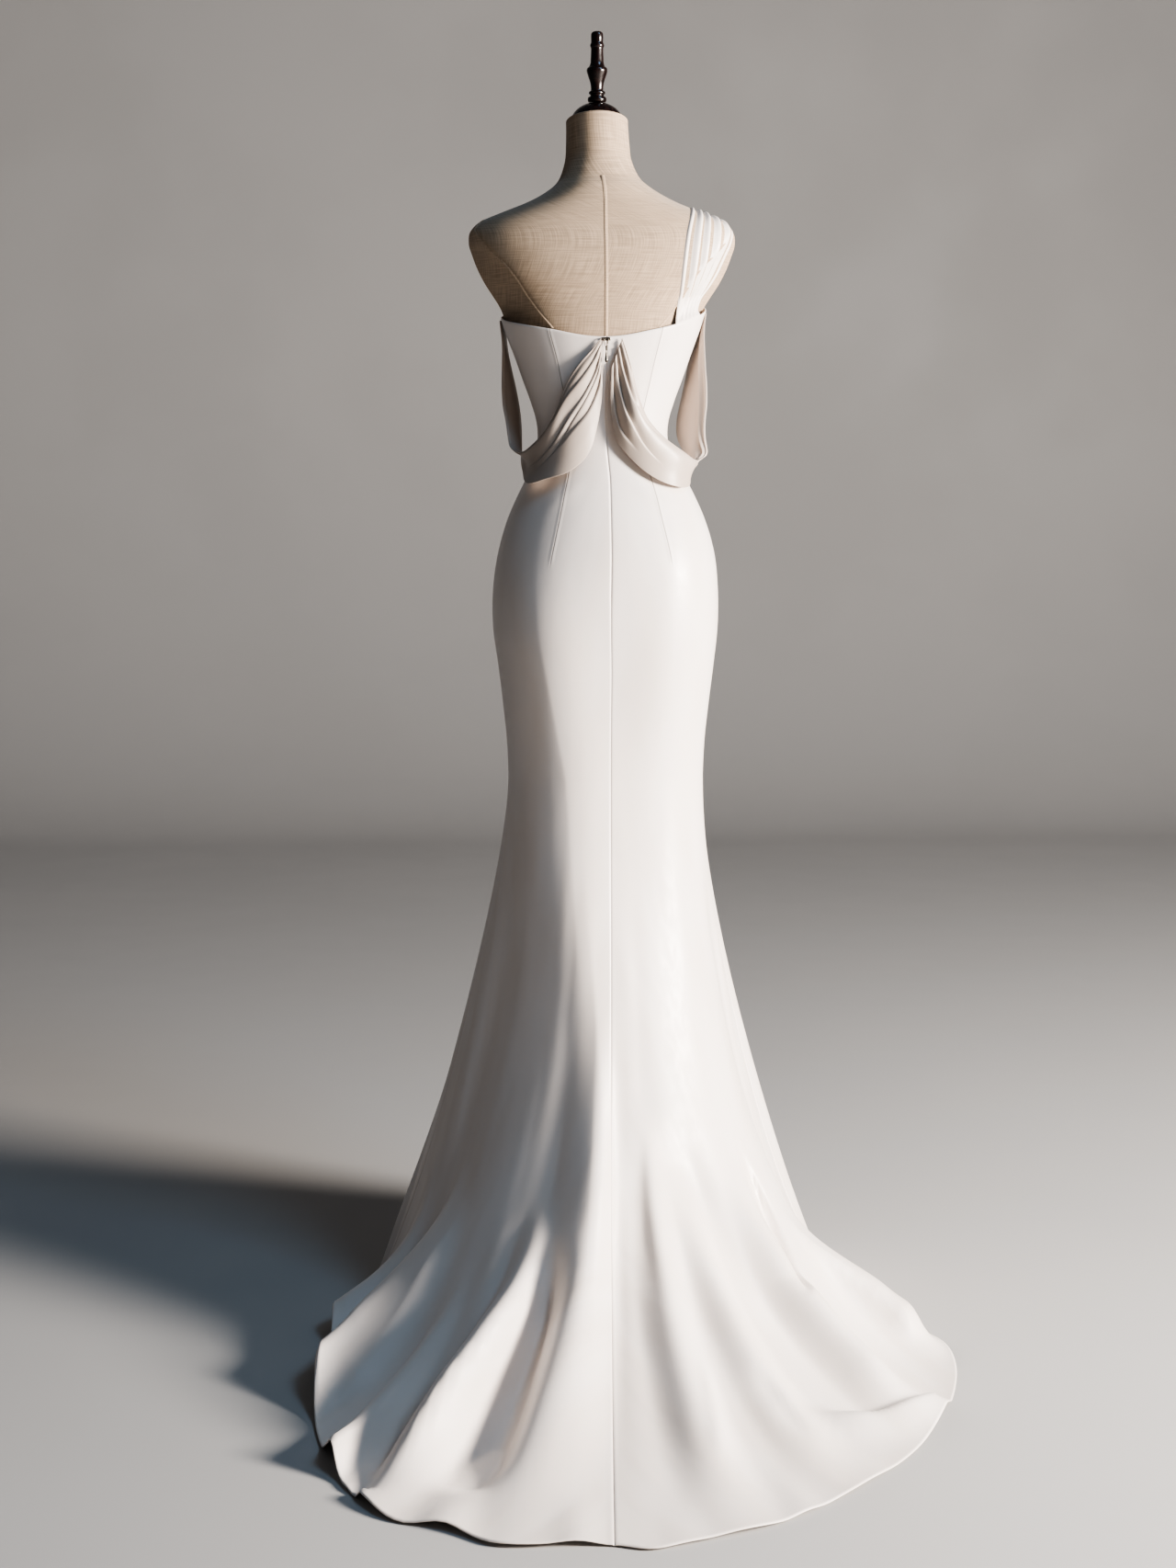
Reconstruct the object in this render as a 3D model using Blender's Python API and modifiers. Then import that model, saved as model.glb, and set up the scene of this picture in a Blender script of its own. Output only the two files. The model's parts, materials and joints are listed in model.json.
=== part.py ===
"""A one-shoulder satin wedding dress with a train, standing on a linen dress form.

Metres, +Z up.  The origin is on the floor under the form's pole.  The dress faces -Y and its train lies
toward +Y.  Angles around the body are in degrees: 0 is the wearer's left side (+X), 90 the centre back (+Y),
180 the wearer's right side (-X) and 270 the centre front (-Y).
"""
import math

import bmesh
import bpy
import numpy as np
from mathutils import Vector

COLLECTION = "wedding_dress_on_dress_form"

# Cloth
WALL = 0.0018
SEAM_GAP = 0.0003
SEAM_TURN = 0.07
FORM_CLEARANCE = 0.0018
LOWEST_CLOTH = 0.0023
KNEE_HEIGHT = 0.80
ROUNDNESS = 2.25

# Rows and columns of the cloth panels.  A row that lies closer than ROW_CLEAR to a panel's edge is left out.
LEVELS = [1.428, 1.400, 1.372, 1.346, 1.320, 1.296, 1.272, 1.245, 1.215, 1.175, 1.125, 1.060, 0.980, 0.890, 0.800]
LOWER_ROWS = 13
BACK_COLUMNS = 18
FRONT_COLUMNS = 14
ROW_CLEAR = 0.01

# The front is cut in a bodice and a skirt: where its waist seam lies, and half that seam's gap, as runs
WAIST_RUN = 0.275
WAIST_HALF_GAP = 0.00024

# Dress outside, one row for each level: height, half width, back depth, front depth, shift toward +X
DRESS_LEVELS = np.array([
    (1.500, 0.1680, 0.1010, 0.1180, 0.0000),
    (1.470, 0.1490, 0.1000, 0.1230, 0.0000),
    (1.440, 0.1385, 0.0975, 0.1275, 0.0000),
    (1.400, 0.1235, 0.0910, 0.1260, -0.0005),
    (1.370, 0.1130, 0.0865, 0.1190, -0.0005),
    (1.340, 0.1020, 0.0830, 0.1080, -0.0005),
    (1.310, 0.0935, 0.0815, 0.0980, -0.0005),
    (1.285, 0.0925, 0.0820, 0.0940, -0.0010),
    (1.260, 0.0990, 0.0855, 0.0940, -0.0030),
    (1.230, 0.1140, 0.0940, 0.0970, -0.0055),
    (1.200, 0.1290, 0.1040, 0.1020, -0.0060),
    (1.175, 0.1400, 0.1120, 0.1050, -0.0060),
    (1.125, 0.1550, 0.1250, 0.1100, -0.0060),
    (1.070, 0.1620, 0.1310, 0.1120, -0.0050),
    (1.015, 0.1620, 0.1300, 0.1100, -0.0050),
    (0.960, 0.1555, 0.1220, 0.1060, -0.0060),
    (0.905, 0.1490, 0.1140, 0.1030, -0.0060),
    (0.850, 0.1435, 0.1080, 0.1000, -0.0060),
    (0.800, 0.1415, 0.1055, 0.0990, -0.0060),
    (0.750, 0.1415, 0.1050, 0.0990, -0.0060),
])

# Top edge of the dress: angle, height
TOP_EDGE = np.array([
    (0, 1.4570), (30, 1.4480), (55, 1.4400), (90, 1.4280), (118, 1.4390), (142, 1.4510), (180, 1.4700),
    (225, 1.4850), (270, 1.4700), (315, 1.4700),
])

# Hem, one row for each station: angle around the knee, hem x, hem y, hem height, then how the cloth falls there:
# share of the way out and height of the upper bend, share of the way out and height of the lower bend
HEM = np.array([
    (-90, 0.000, -0.315, 0.004, 0.00, 0.62, 0.72, 0.16),
    (-60, 0.160, -0.285, 0.004, 0.00, 0.62, 0.72, 0.16),
    (-30, 0.280, -0.175, 0.004, 0.00, 0.64, 0.70, 0.16),
    (-8, 0.338, -0.045, 0.004, 0.00, 0.66, 0.66, 0.16),
    (8, 0.360, 0.050, 0.004, 0.00, 0.62, 0.56, 0.09),
    (22, 0.395, 0.170, 0.004, 0.00, 0.50, 0.44, 0.02),
    (36, 0.408, 0.310, 0.004, 0.02, 0.44, 0.40, 0.00),
    (48, 0.410, 0.450, 0.004, 0.03, 0.42, 0.38, 0.00),
    (58, 0.388, 0.580, 0.003, 0.03, 0.40, 0.37, 0.00),
    (67, 0.345, 0.700, 0.003, 0.03, 0.38, 0.36, 0.00),
    (72, 0.298, 0.766, 0.003, 0.03, 0.37, 0.35, 0.00),
    (76, 0.232, 0.794, 0.003, 0.03, 0.36, 0.35, 0.00),
    (80, 0.176, 0.838, 0.003, 0.03, 0.35, 0.34, 0.00),
    (85, 0.100, 0.844, 0.003, 0.03, 0.35, 0.33, 0.00),
    (90, 0.036, 0.846, 0.003, 0.03, 0.35, 0.33, 0.00),
    (94, -0.008, 0.858, 0.003, 0.03, 0.35, 0.33, 0.00),
    (99, -0.075, 0.838, 0.003, 0.03, 0.35, 0.34, 0.00),
    (105, -0.145, 0.812, 0.003, 0.03, 0.36, 0.35, 0.00),
    (114, -0.245, 0.740, 0.003, 0.03, 0.38, 0.36, 0.00),
    (123, -0.335, 0.648, 0.003, 0.03, 0.40, 0.37, 0.00),
    (132, -0.405, 0.545, 0.003, 0.02, 0.42, 0.38, 0.00),
    (142, -0.455, 0.425, 0.003, 0.00, 0.44, 0.39, 0.00),
    (153, -0.480, 0.295, 0.003, 0.00, 0.45, 0.36, 0.00),
    (165, -0.446, 0.182, 0.003, 0.00, 0.46, 0.36, 0.00),
    (178, -0.374, 0.050, 0.004, 0.00, 0.56, 0.50, 0.07),
    (190, -0.350, -0.045, 0.004, 0.00, 0.60, 0.66, 0.16),
    (212, -0.285, -0.175, 0.004, 0.00, 0.62, 0.70, 0.16),
    (240, -0.160, -0.285, 0.004, 0.00, 0.62, 0.72, 0.16),
])

# Skirt folds: angle at the knee, angle at the hem, half width in degrees, where the fold starts, is full and
# starts to fade (0 at the knee, 1 at the hem), height, share of the height left at the hem
FOLDS = np.array([
    (16, 20, 8.0, 0.62, 0.94, 0.99, 0.042, 0.95),
    (34, 40, 11.0, 0.50, 0.85, 0.99, 0.058, 0.85),
    (58, 60, 4.5, 0.60, 0.90, 0.99, 0.028, 0.90),
    (84, 68, 5.0, 0.45, 0.72, 0.78, 0.050, 0.20),
    (88, 81, 9.0, 0.20, 0.62, 0.70, 0.034, 0.10),
    (97, 103, 6.0, 0.35, 0.70, 0.80, 0.022, 0.20),
    (104, 117, 5.5, 0.45, 0.72, 0.82, 0.020, 0.15),
    (122, 134, 7.0, 0.45, 0.76, 0.84, 0.036, 0.10),
    (146, 157, 9.0, 0.60, 0.82, 0.88, 0.040, 0.15),
    (168, 173, 6.0, 0.66, 0.90, 0.97, 0.012, 0.60),
    (205, 208, 9.0, 0.25, 0.85, 1.00, 0.020, 1.00),
    (236, 238, 9.0, 0.30, 0.90, 1.00, 0.017, 1.00),
    (262, 262, 9.0, 0.20, 0.85, 1.00, 0.020, 1.00),
    (290, 291, 9.0, 0.30, 0.90, 1.00, 0.016, 1.00),
    (322, 320, 9.0, 0.25, 0.85, 1.00, 0.019, 1.00),
    (346, 346, 6.0, 0.50, 0.90, 1.00, 0.016, 1.00),
])


def hermite(knots, values, at):
    """A smooth curve through the knots, whose slope at a knot is that of the parabola through it and its
    neighbours."""
    step = np.diff(knots)
    slope = np.diff(values, axis=0) / step[:, None]
    tangent = np.empty_like(values)
    tangent[1:-1] = (step[1:, None] * slope[:-1] + step[:-1, None] * slope[1:]) / (step[1:] + step[:-1])[:, None]
    tangent[0] = slope[0]
    tangent[-1] = slope[-1]
    at = np.asarray(at, float)
    cell = np.clip(np.searchsorted(knots, at, side="right") - 1, 0, len(step) - 1)
    width = step[cell]
    s = ((at - knots[cell]) / width)[..., None]
    width = width[..., None]
    return ((2 * s**3 - 3 * s**2 + 1) * values[cell] + (s**3 - 2 * s**2 + s) * width * tangent[cell]
            + (3 * s**2 - 2 * s**3) * values[cell + 1] + (s**3 - s**2) * width * tangent[cell + 1])


def around(table, degrees):
    """Reads a table whose first column is an angle, as a closed smooth curve around the body."""
    first = table[0, 0]
    turned = (np.asarray(degrees, float) - first) % 360.0 + first
    before, after = table[-3:].copy(), table[:4].copy()
    before[:, 0] -= 360.0
    after[:, 0] += 360.0
    full = np.vstack([before, table, after])
    return hermite(full[:, 0], full[:, 1:], turned)


def by_height(table, height):
    """Reads a table whose first column is a height, highest first."""
    return hermite(-table[:, 0], table[:, 1:], -np.asarray(height, float))


def smoothstep(x):
    """3 x squared less 2 x cubed, held at 0 and 1 outside."""
    x = np.clip(x, 0.0, 1.0)
    return x * x * (3.0 - 2.0 * x)


def bell(x):
    """Half a raised cosine: 1 at the middle, 0 from 1 outwards."""
    return np.where(np.abs(x) < 1.0, 0.5 + 0.5 * np.cos(np.pi * np.clip(x, -1.0, 1.0)), 0.0)


def oval(degrees, half_width, back, front, shift):
    """A rounded oval, fuller than an ellipse, with its own depth behind and in front."""
    turn = np.radians(degrees)
    c, s = np.cos(turn), np.sin(turn)
    power = 2.0 / ROUNDNESS
    x = shift + half_width * np.sign(c) * np.abs(c) ** power
    y = np.where(s > 0, back, front) * np.sign(s) * np.abs(s) ** power
    return x, y


def dress_level(degrees, height):
    half_width, back, front, shift = np.moveaxis(by_height(DRESS_LEVELS, height), -1, 0)
    x, y = oval(degrees, half_width, back, front, shift)
    return np.stack([x, y, np.broadcast_to(height, x.shape)], -1)


def dress_base(degrees, run):
    """The dress without its folds.  The run goes from 0 at the top edge through 1 at the knee to 2 at the hem.
    Above the knee the cloth follows the levels; below it each line falls in one Bezier curve to the hem."""
    degrees, run = np.broadcast_arrays(np.asarray(degrees, float), np.asarray(run, float))
    top = around(TOP_EDGE, degrees)[..., 0]
    upper = np.clip(run, 0.0, 1.0)
    body = dress_level(degrees, top + (KNEE_HEIGHT - top) * upper)
    knee = dress_level(degrees, np.full(degrees.shape, KNEE_HEIGHT))
    hem_x, hem_y, hem_z, out_a, high_a, out_b, high_b = np.moveaxis(around(HEM, degrees), -1, 0)
    hem = np.stack([hem_x, hem_y, hem_z], -1)
    bend_a = knee + (hem - knee) * out_a[..., None]
    bend_a[..., 2] = high_a
    bend_b = knee + (hem - knee) * out_b[..., None]
    bend_b[..., 2] = high_b
    t = np.clip(run - 1.0, 0.0, 1.0)[..., None]
    fall = (1 - t) ** 3 * knee + 3 * (1 - t) ** 2 * t * bend_a + 3 * (1 - t) * t * t * bend_b + t**3 * hem
    return np.where(run[..., None] > 1.0, fall, body)


def fold_height(degrees, run):
    """How far the folds lift the cloth off the plain skirt: one bell across each fold, which widens with the
    skirt and rises and fades along it."""
    t = np.clip(run - 1.0, 0.0, 1.0)
    lift = np.zeros(np.broadcast(degrees, run).shape)
    for knee_deg, hem_deg, half, start, full, fade, height, left in FOLDS:
        middle = knee_deg + (hem_deg - knee_deg) * t
        off = (degrees - middle + 180.0) % 360.0 - 180.0
        along = smoothstep((t - start) / (full - start))
        along = along * (1.0 - (1.0 - left) * smoothstep((t - fade) / max(1.0 - fade, 1e-6)))
        lift = lift + height * bell(off / half) * along
    return lift


def dress(degrees, run, away=0.0):
    """The outside of the dress with its folds, or a surface that lies a distance away outside it."""
    degrees, run = np.broadcast_arrays(np.asarray(degrees, float), np.asarray(run, float))
    side, down = 0.2, 0.004
    across = dress_base(degrees + side, run) - dress_base(degrees - side, run)
    along = dress_base(degrees, np.minimum(run + down, 2.0)) - dress_base(degrees, np.maximum(run - down, 0.0))
    normal = np.cross(along, across)
    normal /= np.linalg.norm(normal, axis=-1, keepdims=True)
    place = dress_base(degrees, run) + normal * (fold_height(degrees, run) + away)[..., None]
    place[..., 2] = np.where(run > 1.0, np.maximum(place[..., 2], LOWEST_CLOTH), place[..., 2])
    return place


# Dress form: bare linen above the dress, one row for each level, with its shift toward +X and toward +Y
FORM_LEVELS = np.array([
    (1.6600, 0.0520, 0.0560, 0.0600, 0.0045, -0.004),
    (1.6400, 0.0700, 0.0650, 0.0690, 0.0015, 0.000),
    (1.6200, 0.1050, 0.0720, 0.0740, 0.0000, 0.000),
    (1.6030, 0.1480, 0.0770, 0.0780, 0.0000, 0.000),
    (1.5920, 0.1740, 0.0800, 0.0820, 0.0000, 0.000),
    (1.5800, 0.1870, 0.0840, 0.0880, 0.0000, 0.000),
    (1.5630, 0.1905, 0.0900, 0.0960, 0.0000, 0.000),
    (1.5430, 0.1850, 0.0950, 0.1040, 0.0000, 0.000),
    (1.5240, 0.1775, 0.0980, 0.1110, 0.0000, 0.000),
    (1.5050, 0.1675, 0.0985, 0.1160, 0.0000, 0.000),
])
BARE_FROM = 1.487
FORM_BOTTOM = 0.93
FRONT_EASE = 0.002
HIP_EASE = 0.004
HIP_EASE_FROM = 1.25
HIP_EASE_OVER = 0.08
FORM_COLUMNS = 36

# Back edge of the form's arm plates: height, distance from the middle
ARM_EDGE = np.array([
    (1.600, 0.1860), (1.585, 0.1840), (1.568, 0.1760), (1.546, 0.1580), (1.529, 0.1400), (1.510, 0.1250),
    (1.490, 0.1120), (1.477, 0.1030), (1.457, 0.0880), (1.440, 0.0740), (1.420, 0.0600),
])
ARM_PLATE_START = 1.432
ARM_PLATE_BLEND = 0.045
ARM_PLATE_TOP = 1.600
ARM_PLATE_TOP_BLEND = 0.02
ARM_EDGE_ROUND = 0.005

SHOULDER_HEIGHTS = [1.655, 1.642, 1.630, 1.619, 1.609, 1.600, 1.591, 1.581, 1.570, 1.552, 1.530, 1.510, 1.490,
                    1.472, 1.455]
FORM_LOWEST_RING = 0.945
FORM_EDGE_IN = 0.93

NECK_SHARES = (1.0, 0.86, 0.5, 0.2)
NECK_FOOT = 1.664
NECK_FLARE = 0.13
NECK_TILT = math.radians(12.5)
NECK_TOP = 1.7320
NECK_RADIUS = 0.0440
NECK_DEPTH = 0.0490
NECK_SHIFT_X = 0.0070
NECK_SHIFT_Y = -0.0100

# Neck cap, finial and base, turned: distance from the axis, height; then how many steps each is turned in
CAP_PROFILE = [
    (0.0, 0.0260), (0.0100, 0.0252), (0.0190, 0.0226), (0.0270, 0.0180), (0.0330, 0.0120), (0.0362, 0.0060),
    (0.0372, 0.0020), (0.0368, 0.0), (0.0, 0.0),
]
FINIAL_PROFILE = [
    (0.0, 0.0972), (0.0050, 0.0969), (0.0078, 0.0950), (0.0086, 0.0910), (0.0085, 0.0850), (0.0086, 0.0815),
    (0.0097, 0.0793), (0.0098, 0.0765), (0.0088, 0.0745), (0.0087, 0.0700), (0.0090, 0.0620), (0.0097, 0.0530),
    (0.0113, 0.0490), (0.0140, 0.0465), (0.0148, 0.0435), (0.0138, 0.0390), (0.0118, 0.0330), (0.0096, 0.0260),
    (0.0087, 0.0190), (0.0090, 0.0158), (0.0114, 0.0140), (0.0115, 0.0116), (0.0098, 0.0098), (0.0099, 0.0080),
    (0.0126, 0.0064), (0.0134, 0.0030), (0.0124, 0.0), (0.0, 0.0),
]
BASE_PROFILE = [
    (0.0, 0.0450), (0.0200, 0.0450), (0.0220, 0.0430), (0.0220, 0.0240), (0.0260, 0.0190), (0.0700, 0.0165),
    (0.1480, 0.0120), (0.1550, 0.0085), (0.1560, 0.0020), (0.1545, 0.0), (0.0, 0.0),
]
POLE_RADIUS = 0.0125
CAP_STEPS = 24
FINIAL_STEPS = 14
BASE_STEPS = 30
POLE_STEPS = 20
DROP_STEPS = 14

# Drapes, one row for each station from the centre back gathers to the underarm: angle, height and distance
# off the dress, of the upper rim and then of the lower rim
LEFT_DRAPE = np.array([
    (87.6, 1.426, 0.0046, 87.6, 1.388, 0.0056),
    (82.5, 1.410, 0.0066, 86.6, 1.335, 0.0068),
    (74.0, 1.389, 0.0078, 79.0, 1.275, 0.0082),
    (64.0, 1.360, 0.0092, 66.0, 1.243, 0.0097),
    (52.0, 1.318, 0.0145, 50.0, 1.231, 0.0106),
    (36.0, 1.287, 0.0200, 32.0, 1.224, 0.0112),
    (15.5, 1.268, 0.0290, 13.0, 1.238, 0.0120),
    (5.5, 1.280, 0.0445, -5.0, 1.260, 0.0200),
    (1.5, 1.330, 0.0450, -19.0, 1.291, 0.0280),
    (-0.5, 1.385, 0.0265, -25.5, 1.338, 0.0297),
    (-1.5, 1.425, 0.0110, -23.0, 1.397, 0.0183),
    (-2.0, 1.4545, 0.0030, -21.5, 1.4545, 0.0030),
])
RIGHT_DRAPE = np.array([
    (97.5, 1.426, 0.0046, 92.4, 1.388, 0.0056),
    (101.5, 1.402, 0.0068, 92.6, 1.335, 0.0068),
    (107.5, 1.365, 0.0080, 96.5, 1.288, 0.0080),
    (115.5, 1.332, 0.0094, 106.0, 1.257, 0.0092),
    (126.5, 1.305, 0.0130, 117.0, 1.234, 0.0104),
    (142.5, 1.280, 0.0190, 131.0, 1.221, 0.0114),
    (160.0, 1.262, 0.0260, 148.0, 1.219, 0.0105),
    (170.0, 1.256, 0.0370, 165.0, 1.238, 0.0115),
    (176.0, 1.272, 0.0560, 184.0, 1.258, 0.0200),
    (178.5, 1.330, 0.0530, 203.0, 1.285, 0.0280),
    (180.0, 1.390, 0.0300, 207.0, 1.345, 0.0270),
    (181.0, 1.435, 0.0120, 203.5, 1.405, 0.0150),
    (182.0, 1.4660, 0.0036, 201.0, 1.4660, 0.0036),
])
DRAPE_WALL = 0.0016
DRAPE_ROWS = 26
DRAPE_COLUMNS = 10
DRAPE_PLEATS = 4
PLEAT_DEPTH = 0.0022
PLEATS_FADE_BY = 0.62
PLEATS_FADE_OVER = 0.5
PLEATS_LEFT = 0.25
PLEATS_END_OVER = 0.12
PLEATS_AT_GATHERS = 0.35
PLEAT_LEAN = 0.55
DRAPE_BELLY = 0.010
BELLY_FROM = 0.12
BELLY_GROWS_OVER = 0.25

# Strap: a point of its neck-side edge, then of its arm-side edge, from the back over the shoulder to the front
STRAP_CENTRE = Vector((-0.100, 0.000, 1.500))
STRAP_ROUTE = np.array([
    (-0.104, 0.092, 1.488, -0.156, 0.026, 1.490),
    (-0.108, 0.090, 1.530, -0.176, 0.020, 1.520),
    (-0.114, 0.078, 1.572, -0.190, 0.020, 1.552),
    (-0.121, 0.050, 1.598, -0.194, 0.012, 1.578),
    (-0.124, 0.000, 1.603, -0.190, -0.005, 1.593),
    (-0.124, -0.050, 1.590, -0.188, -0.030, 1.580),
    (-0.120, -0.085, 1.560, -0.176, -0.055, 1.550),
    (-0.115, -0.104, 1.522, -0.160, -0.075, 1.518),
])
STRAP_BACK = (132.6, 159.5)
STRAP_FRONT = (227.0, 202.0)
STRAP_OFF = 0.0050
STRAP_ROWS = 19
STRAP_COLUMNS = 13
STRAP_PLEATS = 5
STRAP_PLEAT_DEPTH = 0.0018
STRAP_PLEATS_GROW_OVER = 0.15
STRAP_END = 0.10
STRAP_END_RISE = 0.016
STRAP_SEAT = 0.0004
STRAP_LOWEST = 1.30
FARTHEST = 0.30
HALVINGS = 18

# Zip
ZIP_TOP_RUN = 0.012
ZIP_BOTTOM_RUN = 0.60
ZIP_SLIT = 0.0014
CHAIN_WIDTH = 0.0050
CHAIN_GAP = 0.0005
CHAIN_THICKNESS = 0.0006
SLIDER_WIDTH = 0.0125
SLIDER_HEIGHT = 0.0048
SLIDER_DEPTH = 0.0026
SLIDER_BELOW_EDGE = 0.0004
SLIDER_CLEARANCE = 0.0005
SLIDER_ROUNDING = 0.0006
EAR_REACH = 0.0030
EAR_WIDTH = 0.0016
EAR_SPACING = 0.0094
EAR_SUNK = 0.0006
EAR_HEIGHT = 0.62 * SLIDER_HEIGHT
PIN_RADIUS = 0.0007
BAIL_DROP = 0.0105
BAIL_TIP = 0.0011
BEAD_RADIUS = 0.0016
BEADS_AT = (0.7, 2.4)
DROP_AT = 3.1
DROP_PROFILE = [
    (0.0, 0.0), (0.0008, -0.0004), (0.0011, -0.0030), (0.0016, -0.0075), (0.0022, -0.0118), (0.0023, -0.0140),
    (0.0017, -0.0161), (0.0008, -0.0168), (0.0, -0.0170),
]


def form_level(degrees, height):
    """One level of the dress form: as the dress less its wall below the top edge, its own sizes above."""
    height = np.asarray(height, float)
    inset = np.array([1, 1, 1, 0]) * (WALL + FORM_CLEARANCE) + np.array([0, 0, FRONT_EASE, 0])
    loose = HIP_EASE * smoothstep((HIP_EASE_FROM - height) / HIP_EASE_OVER)
    under_dress = by_height(DRESS_LEVELS, np.clip(height, DRESS_LEVELS[-1, 0], BARE_FROM)) - inset
    under_dress[..., :3] -= loose[..., None]
    under_dress = np.concatenate([under_dress, np.zeros(height.shape + (1,))], -1)
    top = by_height(DRESS_LEVELS, np.array(BARE_FROM)) - inset
    table = np.vstack([FORM_LEVELS, np.concatenate([[BARE_FROM], top, [0.0]])])
    bare = by_height(table, np.clip(height, BARE_FROM, FORM_LEVELS[0, 0]))
    size = np.where((height > BARE_FROM)[..., None], bare, under_dress)
    half_width, back, front, shift_x, shift_y = np.moveaxis(size, -1, 0)
    x, y = oval(degrees, half_width, back, front, shift_x)
    off = np.abs(x - shift_x)
    edge = by_height(ARM_EDGE, np.clip(height, ARM_EDGE[-1, 0], ARM_EDGE[0, 0]))[..., 0]
    edge = np.minimum(edge, half_width * 0.97)
    depth = np.where(y > 0, back, front)
    at_edge = depth * np.maximum(1.0 - (edge / half_width) ** ROUNDNESS, 0.0) ** (1.0 / ROUNDNESS)
    plate = at_edge * (half_width - off) / (half_width - edge)
    share = smoothstep((height - ARM_PLATE_START) / ARM_PLATE_BLEND) * smoothstep(
        (ARM_PLATE_TOP - height) / ARM_PLATE_TOP_BLEND)
    blend = np.clip(0.5 + 0.5 * (plate - np.abs(y)) / ARM_EDGE_ROUND, 0.0, 1.0)
    cut = plate * (1 - blend) + np.abs(y) * blend - ARM_EDGE_ROUND * blend * (1 - blend)
    cut = np.where(off > edge * 0.75, np.maximum(cut, 0.0), np.abs(y))
    y = np.sign(y) * (np.abs(y) * (1 - share) + cut * share) + shift_y
    return np.stack([x, y, np.broadcast_to(height, x.shape)], -1)


def form_depth(x, height):
    """Where the form's front and back lie at a distance from the middle, read from one level's outline."""
    degrees = np.linspace(-90.0, 90.0, 181)
    toward = np.where(x[:, None] > 0.0, degrees, 180.0 - degrees)
    rings = form_level(toward, np.broadcast_to(height[:, None], toward.shape))
    front, back = np.empty(len(rings)), np.empty(len(rings))
    for i, ring in enumerate(rings):
        for depths, half in ((front, ring[:91]), (back, ring[90:])):
            half = half[np.argsort(half[:, 0])]
            depths[i] = np.interp(x[i], half[:, 0], half[:, 1], left=0.0, right=0.0)
    return front, back


def on_form(direction):
    """How far the form's surface lies from the strap's centre in each direction, by halving."""
    shape = direction.shape[:-1]
    flat = direction.reshape(-1, 3)
    near, far = np.zeros(len(flat)), np.full(len(flat), FARTHEST)
    centre = np.array(STRAP_CENTRE)
    for _ in range(HALVINGS):
        middle = 0.5 * (near + far)
        place = centre + flat * middle[:, None]
        front, back = form_depth(place[:, 0], np.clip(place[:, 2], STRAP_LOWEST, FORM_LEVELS[0, 0]))
        inside = (place[:, 1] < back) & (place[:, 1] > front) & (place[:, 2] < FORM_LEVELS[0, 0])
        near, far = np.where(inside, middle, near), np.where(inside, far, middle)
    return near.reshape(shape)


def new_object(name, mesh, collection):
    thing = bpy.data.objects.new(name, mesh)
    collection.objects.link(thing)
    return thing


def mesh_from(name, points, faces):
    mesh = bpy.data.meshes.new(name)
    mesh.from_pydata([tuple(map(float, p)) for p in points], [], faces)
    mesh.validate()
    mesh.update()
    mesh.shade_smooth()
    return mesh


def grid_faces(rows, columns, closed=False):
    last = columns if closed else columns - 1
    return [
        (row + c, row + columns + c, row + columns + (c + 1) % columns, row + (c + 1) % columns)
        for row in range(0, (rows - 1) * columns, columns) for c in range(last)
    ]


def wall(thing, thickness):
    """Gives an open surface its thickness, on the inner side."""
    solid = thing.modifiers.new("wall", "SOLIDIFY")
    solid.thickness = thickness
    solid.offset = -1.0
    solid.use_rim = True
    return thing


def material(name, colour, roughness, metallic=0.0):
    made = bpy.data.materials.new(name)
    made.use_nodes = True
    shader = made.node_tree.nodes["Principled BSDF"]
    shader.inputs["Base Color"].default_value = (*colour, 1.0)
    shader.inputs["Roughness"].default_value = roughness
    shader.inputs["Metallic"].default_value = metallic
    made.diffuse_color = (*colour, 1.0)
    return made


def seam_gap_at(degrees, run):
    """Half the gap between two panels: a plain seam, or the open slit over the zip at the centre back."""
    slit = (abs(degrees - 90.0) < 1e-6) & (np.asarray(run) < ZIP_BOTTOM_RUN)
    return np.where(slit, ZIP_SLIT, SEAM_GAP) / 2.0 + SEAM_TURN * WALL


def panel_rows():
    """Runs of the panel's rows, closer where the skirt bends to the floor."""
    upper = (LEVELS[0] - np.array(LEVELS)) / (LEVELS[0] - LEVELS[-1])
    lower = 1.0 + np.linspace(0.0, 1.0, LOWER_ROWS + 1)[1:] ** 0.9
    return upper, lower


def dress_panel(name, first, last, columns, collection, top=0.0, bottom=2.0):
    """A panel between two seams, from one run to another.  Below the knee it has twice the columns, for the
    folds."""
    fine = np.linspace(first, last, 2 * columns + 1)
    upper, lower = panel_rows()
    runs = np.concatenate([upper, lower])
    within = (runs > top + ROW_CLEAR) & (runs < bottom - ROW_CLEAR)
    runs = np.concatenate([[top], runs[within], [bottom]])
    points, starts = [], []
    for run in runs:
        degrees = fine if run > 1.0 else fine[::2]
        row = dress(degrees, np.full(len(degrees), run))
        for end, inner in ((0, 1), (-1, -2)):
            gap = seam_gap_at(degrees[end], run)
            tangent = row[inner] - row[end]
            row[end] += tangent / np.linalg.norm(tangent) * gap
        starts.append(sum(len(r) for r in points))
        points.append(row)
    faces = []
    for r in range(len(points) - 1):
        a, b = starts[r], starts[r + 1]
        here, below = len(points[r]), len(points[r + 1])
        for c in range(here - 1):
            if here == below:
                faces.append((a + c, a + c + 1, b + c + 1, b + c))
            else:
                faces.append((a + c, a + c + 1, b + 2 * c + 2, b + 2 * c + 1, b + 2 * c))
    mesh = mesh_from(name, np.concatenate(points), [tuple(reversed(face)) for face in faces])
    return wall(new_object(name, mesh, collection), WALL)


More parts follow.
